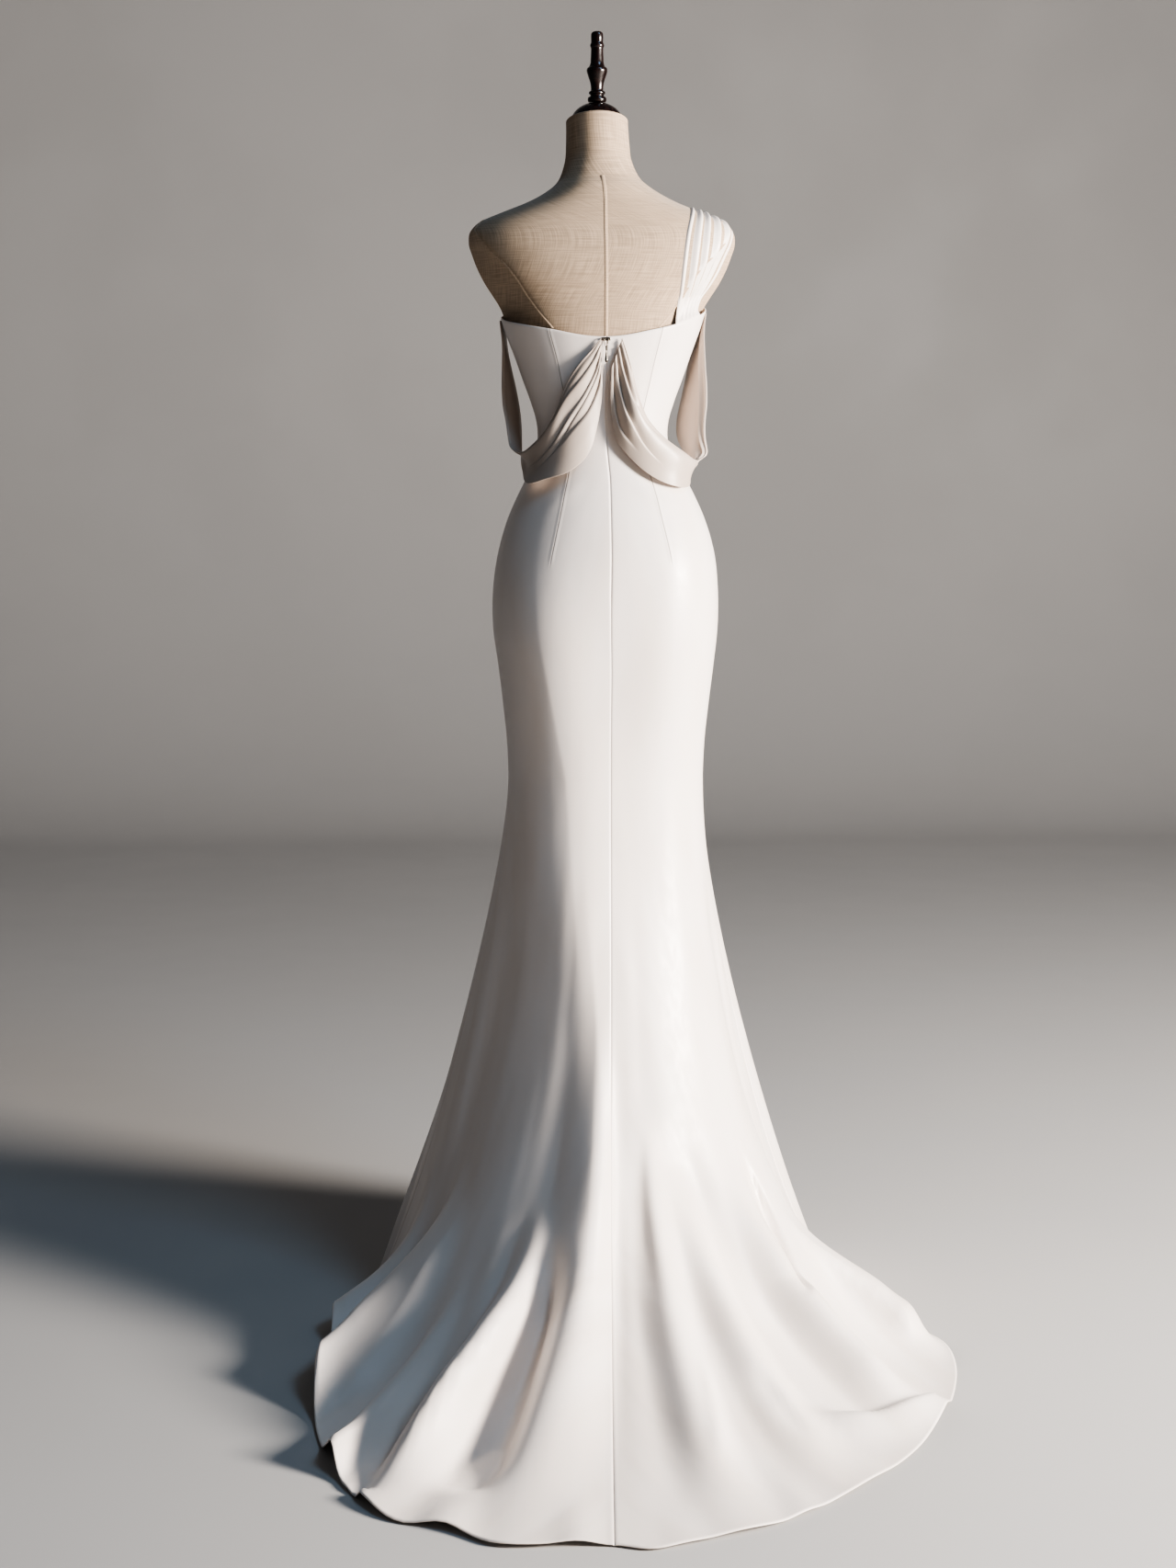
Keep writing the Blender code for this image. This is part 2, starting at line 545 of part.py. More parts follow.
def off_dress(degrees, height, away):
    """A point level with a height of the plain dress, moved straight out from its side."""
    degrees, height, away = (np.asarray(a, float) for a in (degrees, height, away))
    step = 0.1
    across = dress_level(degrees + step, height) - dress_level(degrees - step, height)
    outward = np.stack([across[..., 1], -across[..., 0], np.zeros(across.shape[:-1])], -1)
    outward /= np.linalg.norm(outward, axis=-1, keepdims=True)
    return dress_level(degrees, height) + outward * away[..., None]


def shares(rows, columns):
    """How far along and how far across a cloth each point of its grid lies, from 0 to 1."""
    return np.meshgrid(np.linspace(0.0, 1.0, rows), np.linspace(0.0, 1.0, columns), indexing="ij")


def pleat_wave(across, count):
    """Soft pleats that lean one way: a sine whose phase is bent by itself."""
    turn = 2.0 * np.pi * count * across
    return np.sin(turn + PLEAT_LEAN * np.sin(turn))


def drape_rims(table, along):
    """The drape's upper and lower rim at each share of the way along it."""
    rims = np.moveaxis(hermite(np.linspace(0.0, 1.0, len(table)), table, along), -1, 0)
    return off_dress(*rims[:3]), off_dress(*rims[3:])


def drape_surface(table, along, across):
    """A hanging loop of cloth, ruled between its two rims, with pleats that fan out of the gathers."""
    step = 0.004
    upper, lower = drape_rims(table, along)
    upper_ahead, lower_ahead = drape_rims(table, np.minimum(along + step, 1.0))
    upper_behind, lower_behind = drape_rims(table, np.maximum(along - step, 0.0))
    normal = np.cross(lower - upper, upper_ahead + lower_ahead - upper_behind - lower_behind)
    normal /= np.linalg.norm(normal, axis=-1, keepdims=True)
    if table[0, 0] > 90.0:
        normal = -normal
    fade = smoothstep((PLEATS_FADE_BY - along) / PLEATS_FADE_OVER) * (1.0 - PLEATS_LEFT)
    fade = fade + PLEATS_LEFT * smoothstep((1.0 - along) / PLEATS_END_OVER)
    fade = fade * smoothstep(along / 0.02 + PLEATS_AT_GATHERS)
    belly = DRAPE_BELLY * np.sin(np.pi * across)
    belly = belly * smoothstep((along - BELLY_FROM) / BELLY_GROWS_OVER)
    belly = belly * smoothstep((1.0 - along) / BELLY_GROWS_OVER)
    lift = PLEAT_DEPTH * fade * pleat_wave(across, DRAPE_PLEATS) + belly
    return upper + (lower - upper) * across[..., None] + normal * lift[..., None]


def drape(name, table, collection):
    along, across = shares(DRAPE_ROWS, DRAPE_COLUMNS + 1)
    points = drape_surface(table, along, across).reshape(-1, 3)
    faces = grid_faces(DRAPE_ROWS, DRAPE_COLUMNS + 1)
    if table[0, 0] < 90.0:
        faces = [tuple(reversed(face)) for face in faces]
    mesh = mesh_from(name, points, faces)
    return wall(new_object(name, mesh, collection), DRAPE_WALL)


def strap_surface(along, across):
    """The strap lies on the shoulder: its route's edges give directions from a centre inside the shoulder, and the
    cloth stands a little off the form there.  Both ends meet the top edge of the dress."""
    stations = np.linspace(0.0, 1.0, len(STRAP_ROUTE) + 2)
    centre = np.array(STRAP_CENTRE)
    route = STRAP_ROUTE.reshape(-1, 2, 3)
    edges = []
    for side in (0, 1):
        ends = [dress(np.array(end[side]), np.array(0.0)) for end in (STRAP_BACK, STRAP_FRONT)]
        points = np.vstack([ends[0], route[:, side], ends[1]]) - centre
        edges.append(hermite(stations, points / np.linalg.norm(points, axis=-1, keepdims=True), along))
    direction = edges[0] + (edges[1] - edges[0]) * across[..., None]
    direction /= np.linalg.norm(direction, axis=-1, keepdims=True)
    away = on_form(direction) + STRAP_OFF
    middle = smoothstep(along / STRAP_PLEATS_GROW_OVER) * smoothstep((1.0 - along) / STRAP_PLEATS_GROW_OVER)
    away = away + STRAP_PLEAT_DEPTH * middle * pleat_wave(across, STRAP_PLEATS)
    place = centre + direction * away[..., None]
    for end, at in ((STRAP_BACK, along / STRAP_END), (STRAP_FRONT, (1.0 - along) / STRAP_END)):
        degrees = end[0] + (end[1] - end[0]) * across
        seated = dress(degrees, np.zeros(degrees.shape))
        seated[..., 2] += STRAP_SEAT + STRAP_END_RISE * np.clip(at, 0.0, 1.0)
        share = (1.0 - smoothstep(at))[..., None]
        place = place * (1.0 - share) + seated * share
    return place


def strap(name, collection):
    along, across = shares(STRAP_ROWS, STRAP_COLUMNS + 1)
    points = strap_surface(along, across).reshape(-1, 3)
    mesh = mesh_from(name, points, grid_faces(STRAP_ROWS, STRAP_COLUMNS + 1))
    return wall(new_object(name, mesh, collection), DRAPE_WALL)


def turned(name, profile, steps, collection):
    """A solid of revolution about Z, from a profile that runs down its outer side."""
    mesh = bpy.data.meshes.new(name)
    points = [(radius, 0.0, height) for radius, height in profile]
    mesh.from_pydata(points, [(i, i + 1) for i in range(len(points) - 1)], [])
    thing = new_object(name, mesh, collection)
    screw = thing.modifiers.new("turn", "SCREW")
    screw.steps = steps
    screw.render_steps = steps
    screw.use_merge_vertices = True
    screw.merge_threshold = 0.0001
    screw.use_smooth_shade = True
    return thing


def torso(name, collection):
    """The linen torso: rings from under the hips to the shoulders, then the neck with its slanting top."""
    degrees = np.arange(FORM_COLUMNS) * 360.0 / FORM_COLUMNS
    turn = np.radians(degrees)
    slant = math.tan(NECK_TILT)
    rings = []
    for share in NECK_SHARES:
        grow = 1.0 + NECK_FLARE * (1.0 - share) ** 2.2
        x = NECK_SHIFT_X * (0.7 + 0.3 * share) + NECK_RADIUS * grow * np.cos(turn)
        y = NECK_SHIFT_Y * (0.5 + 0.5 * share) + NECK_DEPTH * grow * np.sin(turn)
        z = NECK_FOOT + (NECK_TOP - NECK_FOOT + slant * (y - NECK_SHIFT_Y)) * share
        rings.append(np.stack([x, y, z], -1))
    for height in SHOULDER_HEIGHTS + [level for level in LEVELS if level > FORM_LOWEST_RING] + [FORM_LOWEST_RING]:
        rings.append(form_level(degrees, np.full(degrees.shape, height)))
    bottom = rings[-1] * [FORM_EDGE_IN, FORM_EDGE_IN, 1.0]
    bottom[:, 2] = FORM_BOTTOM
    rings.append(bottom)
    faces = grid_faces(len(rings), FORM_COLUMNS, closed=True)
    faces.append(tuple(range(FORM_COLUMNS)))
    faces.append(tuple(reversed(range((len(rings) - 1) * FORM_COLUMNS, len(rings) * FORM_COLUMNS))))
    return new_object(name, mesh_from(name, np.concatenate(rings), faces), collection)


def neck_cap_and_finial(collection):
    """The dome follows the neck's slant; the finial stands upright on the dome's highest point."""
    cap = turned("neck_cap", CAP_PROFILE, CAP_STEPS, collection)
    seat = Vector((NECK_SHIFT_X, NECK_SHIFT_Y, NECK_TOP + SEAM_GAP))
    cap.rotation_euler[0] = NECK_TILT
    cap.location = seat
    sine, cosine = math.sin(NECK_TILT), math.cos(NECK_TILT)
    radius, height = max(CAP_PROFILE, key=lambda p: p[0] * sine + p[1] * cosine)
    finial = turned("finial", FINIAL_PROFILE, FINIAL_STEPS, collection)
    lift = radius * sine + height * cosine + SEAM_GAP
    finial.location = seat + Vector((0.0, radius * cosine - height * sine, lift))
    return cap, finial


def box(name, size, place, collection):
    mesh = bpy.data.meshes.new(name)
    shape = bmesh.new()
    bmesh.ops.create_cube(shape, size=1.0)
    bmesh.ops.scale(shape, vec=size, verts=shape.verts)
    shape.to_mesh(mesh)
    shape.free()
    thing = new_object(name, mesh, collection)
    thing.location = place
    return thing


def helper(thing):
    thing.hide_render = True
    thing.display_type = "WIRE"
    return thing


def join(thing, other):
    union = thing.modifiers.new("join", "BOOLEAN")
    union.operation = "UNION"
    union.object = helper(other)


def zip_chain(name, collection):
    """The zip's chain, a thin strip behind the slit, which follows the inside of the dress."""
    upper, _ = panel_rows()
    runs = np.append(ZIP_TOP_RUN, upper[(upper > ZIP_TOP_RUN) & (upper < ZIP_BOTTOM_RUN)])
    points = []
    for depth in (WALL + CHAIN_GAP, WALL + CHAIN_GAP + CHAIN_THICKNESS):
        for side in (-0.5, 0.5):
            place = dress(np.full(runs.shape, 90.0), runs, away=-depth)
            place[:, 0] += side * CHAIN_WIDTH
            points.append(place)
    count = len(runs)
    faces = []
    for a, b in ((1, 0), (0, 2), (2, 3), (3, 1)):
        for i in range(count - 1):
            faces.append((a * count + i, a * count + i + 1, b * count + i + 1, b * count + i))
    faces.append((0, count, 3 * count, 2 * count))
    faces.append((count - 1, 3 * count - 1, 4 * count - 1, 2 * count - 1))
    mesh = mesh_from(name, np.concatenate(points), faces)
    shape = bmesh.new()
    shape.from_mesh(mesh)
    bmesh.ops.recalc_face_normals(shape, faces=shape.faces)
    shape.to_mesh(mesh)
    shape.free()
    return new_object(name, mesh, collection)


def bead(collection, place):
    mesh = bpy.data.meshes.new("bead")
    shape = bmesh.new()
    bmesh.ops.create_uvsphere(shape, u_segments=10, v_segments=7, radius=BEAD_RADIUS)
    shape.to_mesh(mesh)
    shape.free()
    thing = new_object("bead", mesh, collection)
    thing.location = place
    return thing


def bail_mesh(half_width):
    """The pull's wire: the pin across the ears and the V that hangs from its ends."""
    curve = bpy.data.curves.new("zip_pull", "CURVE")
    curve.dimensions = "3D"
    curve.bevel_depth = PIN_RADIUS
    curve.bevel_resolution = 1
    spline = curve.splines.new("POLY")
    corners = [(-half_width, 0.0), (half_width, 0.0), (BAIL_TIP, -BAIL_DROP), (-BAIL_TIP, -BAIL_DROP)]
    spline.points.add(len(corners) - 1)
    for point, (x, z) in zip(spline.points, corners):
        point.co = (x, 0.0, z, 1.0)
    spline.use_cyclic_u = True
    bail = bpy.data.objects.new("bail", curve)
    bpy.context.scene.collection.objects.link(bail)
    mesh = bpy.data.meshes.new_from_object(bail.evaluated_get(bpy.context.evaluated_depsgraph_get()))
    bpy.data.objects.remove(bail)
    shape = bmesh.new()
    shape.from_mesh(mesh)
    bmesh.ops.remove_doubles(shape, verts=shape.verts, dist=0.00001)
    shape.to_mesh(mesh)
    shape.free()
    return mesh


def zip_slider_and_pull(collection, helpers):
    """The slider rests on the dress over the top of the slit.  Its ears carry the pull's pin."""
    height = float(around(TOP_EDGE, 90.0)[0]) - 0.5 * SLIDER_HEIGHT - SLIDER_BELOW_EDGE
    middle = float(dress_level(np.array(90.0), np.array(height))[1]) + SLIDER_CLEARANCE + 0.5 * SLIDER_DEPTH
    slider = box("zip_slider", (SLIDER_WIDTH, SLIDER_DEPTH, SLIDER_HEIGHT), (0.0, middle, height), collection)
    rounding = slider.modifiers.new("round", "BEVEL")
    rounding.width = SLIDER_ROUNDING
    rounding.segments = 2
    for side in (-0.5, 0.5):
        place = (side * EAR_SPACING, middle + 0.5 * (SLIDER_DEPTH + EAR_REACH) - 0.5 * EAR_SUNK, height)
        join(slider, box("ear", (EAR_WIDTH, EAR_REACH + EAR_SUNK, EAR_HEIGHT), place, helpers))
    pivot = Vector((0.0, middle + 0.5 * SLIDER_DEPTH + 0.6 * EAR_REACH, height))
    mesh = bail_mesh(0.5 * (EAR_SPACING - EAR_WIDTH) - SEAM_GAP - PIN_RADIUS)
    pull = new_object("zip_pull", mesh, collection)
    pull.location = pivot
    for along in BEADS_AT:
        join(pull, bead(helpers, pivot - Vector((0.0, 0.0, BAIL_DROP + along * BEAD_RADIUS))))
    drop = turned("drop", DROP_PROFILE, DROP_STEPS, helpers)
    drop.location = pivot - Vector((0.0, 0.0, BAIL_DROP + DROP_AT * BEAD_RADIUS))
    join(pull, drop)
    return slider, pull


def build():
    for thing in list(bpy.data.objects):
        bpy.data.objects.remove(thing, do_unlink=True)
    scene = bpy.context.scene
    parts = bpy.data.collections.new(COLLECTION)
    helpers = bpy.data.collections.new("helpers")
    scene.collection.children.link(parts)
    scene.collection.children.link(helpers)

    satin = material("ivory_satin", (0.86, 0.82, 0.77), 0.32)
    linen = material("linen", (0.62, 0.54, 0.44), 0.90)
    dark_wood = material("dark_wood", (0.035, 0.012, 0.008), 0.25)
    steel = material("zip_metal", (0.45, 0.43, 0.40), 0.30, 1.0)
    black_steel = material("black_steel", (0.02, 0.02, 0.02), 0.40, 0.6)

    cloth = [
        dress_panel("back_left", 0.0, 90.0, BACK_COLUMNS, parts),
        dress_panel("back_right", 90.0, 180.0, BACK_COLUMNS, parts),
        dress_panel("front_bodice", 180.0, 360.0, FRONT_COLUMNS, parts, bottom=WAIST_RUN - WAIST_HALF_GAP),
        dress_panel("front_skirt", 180.0, 360.0, FRONT_COLUMNS, parts, top=WAIST_RUN + WAIST_HALF_GAP),
        drape("drape_left", LEFT_DRAPE, parts),
        drape("drape_right", RIGHT_DRAPE, parts),
        strap("shoulder_strap", parts),
    ]
    form = torso("form_torso", parts)
    cap, finial = neck_cap_and_finial(parts)
    base = turned("base", BASE_PROFILE, BASE_STEPS, parts)
    hub_top = BASE_PROFILE[0][1]
    pole_length = FORM_BOTTOM - hub_top - 2 * SEAM_GAP
    pole_profile = [(0.0, pole_length), (POLE_RADIUS, pole_length), (POLE_RADIUS, 0.0), (0.0, 0.0)]
    pole = turned("pole", pole_profile, POLE_STEPS, parts)
    pole.location = (0.0, 0.0, hub_top + SEAM_GAP)
    chain = zip_chain("zip_chain", parts)
    slider, pull = zip_slider_and_pull(parts, helpers)
    looks = [
        (cloth, satin),
        ([form], linen),
        ([cap, finial], dark_wood),
        ([chain, slider, pull], steel),
        ([base, pole], black_steel),
    ]
    for things, look in looks:
        for thing in things:
            thing.data.materials.append(look)


build()
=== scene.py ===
"""The looks of a one-shoulder satin wedding dress with a train, on a linen dress form.

Metres, +Z up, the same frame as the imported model: the origin is on the floor under the form's pole, the dress faces
-Y and the train lies toward +Y.  Angles around the body are in degrees: 0 is the wearer's left (+X), 90 the centre
back (+Y), 180 the wearer's right (-X) and 270 the centre front (-Y).
"""
import json
import math
from functools import partial

import bpy
import numpy as np
from mathutils import Matrix, Vector

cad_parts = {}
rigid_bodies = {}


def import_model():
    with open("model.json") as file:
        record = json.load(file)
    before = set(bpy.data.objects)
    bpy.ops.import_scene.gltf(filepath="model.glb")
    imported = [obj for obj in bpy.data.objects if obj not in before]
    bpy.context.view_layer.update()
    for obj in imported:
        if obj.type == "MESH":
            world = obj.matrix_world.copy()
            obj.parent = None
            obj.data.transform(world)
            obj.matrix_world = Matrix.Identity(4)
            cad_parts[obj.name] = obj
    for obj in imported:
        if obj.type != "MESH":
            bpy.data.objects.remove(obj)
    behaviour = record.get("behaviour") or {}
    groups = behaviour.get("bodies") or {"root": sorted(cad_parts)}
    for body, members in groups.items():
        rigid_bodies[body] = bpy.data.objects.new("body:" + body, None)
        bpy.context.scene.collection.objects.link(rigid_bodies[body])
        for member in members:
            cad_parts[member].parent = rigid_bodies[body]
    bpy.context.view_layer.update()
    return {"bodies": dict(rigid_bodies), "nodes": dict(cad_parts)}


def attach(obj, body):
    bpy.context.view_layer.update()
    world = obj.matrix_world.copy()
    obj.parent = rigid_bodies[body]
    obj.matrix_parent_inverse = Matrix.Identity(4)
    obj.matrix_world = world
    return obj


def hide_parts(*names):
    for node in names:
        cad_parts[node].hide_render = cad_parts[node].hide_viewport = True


# ---- the dress's shape: the solids have most of these sizes too, under the same names ----

WALL = 0.0015
SEAM_GAP = 0.0003
FORM_INSET = 0.0036
LOWEST_CLOTH = 0.0023
KNEE_HEIGHT = 0.80
ROUNDNESS = 2.25

# height, half width, back depth, front depth, shift toward +X
DRESS_LEVELS = np.array([
    (1.500, 0.1680, 0.1010, 0.1180, 0.0000),
    (1.470, 0.1490, 0.1000, 0.1230, 0.0000),
    (1.440, 0.1385, 0.0975, 0.1275, 0.0000),
    (1.400, 0.1235, 0.0910, 0.1260, -0.0005),
    (1.370, 0.1130, 0.0865, 0.1190, -0.0005),
    (1.340, 0.1020, 0.0830, 0.1080, -0.0005),
    (1.310, 0.0935, 0.0815, 0.0980, -0.0005),
    (1.285, 0.0925, 0.0820, 0.0940, -0.0010),
    (1.260, 0.0990, 0.0855, 0.0940, -0.0030),
    (1.230, 0.1140, 0.0940, 0.0970, -0.0055),
    (1.200, 0.1290, 0.1040, 0.1020, -0.0060),
    (1.175, 0.1400, 0.1120, 0.1050, -0.0060),
    (1.125, 0.1550, 0.1250, 0.1100, -0.0060),
    (1.070, 0.1620, 0.1310, 0.1120, -0.0050),
    (1.015, 0.1620, 0.1300, 0.1100, -0.0050),
    (0.960, 0.1555, 0.1220, 0.1060, -0.0060),
    (0.905, 0.1490, 0.1140, 0.1030, -0.0060),
    (0.850, 0.1435, 0.1080, 0.1000, -0.0060),
    (0.800, 0.1415, 0.1055, 0.0990, -0.0060),
    (0.750, 0.1415, 0.1050, 0.0990, -0.0060),
])

# angle, height of the top edge
TOP_EDGE = np.array([
    (0, 1.4570), (30, 1.4480), (55, 1.4400), (90, 1.4280), (118, 1.4390), (142, 1.4510), (180, 1.4700),
    (225, 1.4850), (270, 1.4700), (315, 1.4700),
])

# angle around the knee, hem x, hem y, hem height, then share of the way out and height of the upper and lower bend
HEM = np.array([
    (-90, 0.000, -0.315, 0.004, 0.00, 0.62, 0.72, 0.16),
    (-60, 0.160, -0.285, 0.004, 0.00, 0.62, 0.72, 0.16),
    (-30, 0.280, -0.175, 0.004, 0.00, 0.64, 0.70, 0.16),
    (-8, 0.338, -0.045, 0.004, 0.00, 0.66, 0.66, 0.16),
    (8, 0.360, 0.050, 0.004, 0.00, 0.62, 0.56, 0.09),
    (22, 0.395, 0.170, 0.004, 0.00, 0.50, 0.44, 0.02),
    (36, 0.408, 0.310, 0.004, 0.02, 0.44, 0.40, 0.00),
    (48, 0.410, 0.450, 0.004, 0.03, 0.42, 0.38, 0.00),
    (58, 0.388, 0.580, 0.003, 0.03, 0.40, 0.37, 0.00),
    (67, 0.345, 0.700, 0.003, 0.03, 0.38, 0.36, 0.00),
    (72, 0.298, 0.766, 0.003, 0.03, 0.37, 0.35, 0.00),
    (76, 0.232, 0.794, 0.003, 0.03, 0.36, 0.35, 0.00),
    (80, 0.176, 0.838, 0.003, 0.03, 0.35, 0.34, 0.00),
    (85, 0.100, 0.844, 0.003, 0.03, 0.35, 0.33, 0.00),
    (90, 0.036, 0.846, 0.003, 0.03, 0.35, 0.33, 0.00),
    (94, -0.008, 0.858, 0.003, 0.03, 0.35, 0.33, 0.00),
    (99, -0.075, 0.838, 0.003, 0.03, 0.35, 0.34, 0.00),
    (105, -0.145, 0.812, 0.003, 0.03, 0.36, 0.35, 0.00),
    (114, -0.245, 0.740, 0.003, 0.03, 0.38, 0.36, 0.00),
    (123, -0.335, 0.648, 0.003, 0.03, 0.40, 0.37, 0.00),
    (132, -0.405, 0.545, 0.003, 0.02, 0.42, 0.38, 0.00),
    (142, -0.455, 0.425, 0.003, 0.00, 0.44, 0.39, 0.00),
    (153, -0.480, 0.295, 0.003, 0.00, 0.45, 0.36, 0.00),
    (165, -0.446, 0.182, 0.003, 0.00, 0.46, 0.36, 0.00),
    (178, -0.374, 0.050, 0.004, 0.00, 0.56, 0.50, 0.07),
    (190, -0.350, -0.045, 0.004, 0.00, 0.60, 0.66, 0.16),
    (212, -0.285, -0.175, 0.004, 0.00, 0.62, 0.70, 0.16),
    (240, -0.160, -0.285, 0.004, 0.00, 0.62, 0.72, 0.16),
])

# angle at the knee, angle at the hem, half width, where the fold starts, is full and starts to fade, height,
# share of the height left at the hem
FOLDS = np.array([
    (16, 20, 8.0, 0.62, 0.94, 0.99, 0.042, 0.95),
    (34, 40, 11.0, 0.50, 0.85, 0.99, 0.058, 0.85),
    (58, 60, 4.5, 0.60, 0.90, 0.99, 0.028, 0.90),
    (84, 68, 5.0, 0.45, 0.72, 0.78, 0.050, 0.20),
    (88, 81, 9.0, 0.20, 0.62, 0.70, 0.034, 0.10),
    (97, 103, 6.0, 0.35, 0.70, 0.80, 0.022, 0.20),
    (104, 117, 5.5, 0.45, 0.72, 0.82, 0.020, 0.15),
    (122, 134, 7.0, 0.45, 0.76, 0.84, 0.036, 0.10),
    (146, 157, 9.0, 0.60, 0.82, 0.88, 0.040, 0.15),
    (168, 173, 6.0, 0.66, 0.90, 0.97, 0.012, 0.60),
    (205, 208, 9.0, 0.25, 0.85, 1.00, 0.020, 1.00),
    (236, 238, 9.0, 0.30, 0.90, 1.00, 0.017, 1.00),
    (262, 262, 9.0, 0.20, 0.85, 1.00, 0.020, 1.00),
    (290, 291, 9.0, 0.30, 0.90, 1.00, 0.016, 1.00),
    (322, 320, 9.0, 0.25, 0.85, 1.00, 0.019, 1.00),
    (346, 346, 6.0, 0.50, 0.90, 1.00, 0.016, 1.00),
])

# Listed creases: angle and run of the start, the middle and the end, width to the left of the path and to its
# right when it is followed on the outside, height (a trough is negative), share of the length over which it grows and
# over which it dies, how crisp its crest is.  Left of a crease that runs down the skirt the angles are larger
CREASES = np.array([
    # the skirt's back: a long soft ridge on its left, a shallow one on its right and a wide one beside the seam
    (51.0, 0.42, 64.0, 0.90, 84.5, 1.32, 0.064, 0.070, 0.016, 0.35, 0.28, 0.15),
    (128.0, 0.34, 121.0, 0.70, 112.0, 1.10, 0.070, 0.040, 0.005, 0.35, 0.40, 0.0),
    (75.5, 1.04, 86.8, 1.37, 85.0, 1.68, 0.130, 0.060, 0.026, 0.36, 0.35, 0.25),
    # the train's left: the long ridge's crest, the hollow beside it, the small hollow at the hem
    (77.2, 1.58, 72.4, 1.76, 68.8, 1.97, 0.012, 0.045, 0.016, 0.25, 0.25, 0.5),
    (78.8, 1.54, 77.1, 1.75, 75.6, 1.95, 0.028, 0.050, -0.038, 0.25, 0.22, 0.0),
    (64.6, 1.86, 66.0, 1.93, 67.2, 2.03, 0.016, 0.014, -0.014, 0.35, 0.10, 0.3),
    (45.0, 1.54, 47.6, 1.75, 49.0, 1.96, 0.020, 0.046, 0.022, 0.35, 0.20, 0.3),
    (66.0, 1.52, 67.0, 1.63, 66.4, 1.74, 0.020, 0.020, 0.003, 0.40, 0.40, 0.0),
    # the train's middle and right: soft hollows
    (98.5, 1.40, 97.2, 1.52, 99.8, 1.66, 0.012, 0.020, -0.006, 0.35, 0.45, 0.0),
    (108.0, 1.38, 119.0, 1.60, 131.0, 1.84, 0.030, 0.040, -0.012, 0.30, 0.35, 0.0),
    (113.2, 1.75, 114.4, 1.83, 116.0, 1.92, 0.012, 0.016, -0.006, 0.40, 0.40, 0.1),
    (105.6, 1.70, 104.6, 1.80, 103.2, 1.90, 0.012, 0.010, 0.005, 0.40, 0.30, 0.1),
    (131.0, 1.45, 137.5, 1.59, 129.0, 1.71, 0.005, 0.034, -0.016, 0.50, 0.12, 0.7),
    (118.0, 1.83, 127.0, 1.925, 140.0, 1.985, 0.014, 0.040, 0.018, 0.40, 0.15, 0.2),
    (143.0, 1.58, 149.5, 1.76, 151.0, 1.93, 0.034, 0.014, 0.020, 0.40, 0.20, 0.5),
    # the front and the sides: similar soft creases
    (20.0, 1.10, 17.0, 1.40, 14.0, 1.70, 0.026, 0.030, 0.005, 0.40, 0.40, 0.0),
    (204.0, 1.20, 200.0, 1.50, 202.0, 1.85, 0.022, 0.020, -0.005, 0.40, 0.40, 0.1),
    (228.0, 1.15, 224.0, 1.50, 223.0, 1.95, 0.020, 0.020, 0.006, 0.40, 0.30, 0.1),
    (252.0, 1.25, 249.0, 1.55, 250.0, 1.97, 0.022, 0.018, -0.006, 0.45, 0.25, 0.1),
    (277.0, 1.15, 276.0, 1.50, 277.0, 1.93, 0.020, 0.024, -0.005, 0.45, 0.30, 0.0),
    (303.0, 1.22, 306.0, 1.55, 305.0, 1.97, 0.020, 0.020, 0.006, 0.40, 0.25, 0.1),
    (334.0, 1.15, 334.0, 1.50, 331.0, 1.95, 0.024, 0.020, -0.006, 0.40, 0.25, 0.0),
    # the hip and waist: faint drag lines
    (100.0, 0.30, 118.0, 0.37, 140.0, 0.40, 0.010, 0.012, 0.0010, 0.40, 0.40, 0.0),
    (76.0, 0.31, 62.0, 0.36, 44.0, 0.39, 0.010, 0.012, 0.0010, 0.40, 0.40, 0.0),
    (236.0, 0.30, 250.0, 0.36, 266.0, 0.38, 0.010, 0.012, 0.0012, 0.40, 0.40, 0.0),
    (304.0, 0.30, 290.0, 0.35, 276.0, 0.37, 0.010, 0.012, 0.0012, 0.40, 0.40, 0.0),
])
CREASE_STEPS = 16
CRISP_FALL = 1.5

# Where the hem stands a little off the floor: angle, half width, lift.  It grows from a run just above the hem
HEM_LIFT_START = 1.90
HEM_LIFTS = np.array([
    (75.5, 2.6, 0.007), (79.0, 2.0, -0.001), (86.5, 3.2, 0.005), (97.0, 3.0, 0.002), (110.0, 3.0, 0.003),
    (120.0, 4.0, 0.002), (60.5, 2.0, 0.010), (200.0, 7.0, 0.005), (247.0, 7.0, 0.005), (283.0, 8.0, 0.004),
    (318.0, 7.0, 0.005),
])

# Sewn shaping lines of each panel: run and angle of each line's points
SHAPING = {
    "back_left": [[(0.000, 57.6), (0.072, 58.8), (0.116, 59.2), (0.304, 61.4), (0.400, 62.0), (0.512, 60.4)]],
    "back_right": [[(0.000, 122.4), (0.072, 121.2), (0.116, 120.8), (0.304, 118.6), (0.400, 118.0),
                    (0.512, 119.6)]],
    "front": [[(0.000, 238.0), (0.120, 243.0), (0.300, 247.0), (0.400, 246.0), (0.500, 244.0)],
              [(0.000, 302.0), (0.120, 297.0), (0.300, 293.0), (0.400, 294.0), (0.500, 296.0)]],
}
# runs past a line's last point: how far its curve is still followed, where its stitches stop, how slowly they fade
SEAM_REACH, SEAM_TAIL, SEAM_FADE = 0.08, 0.012, 0.03


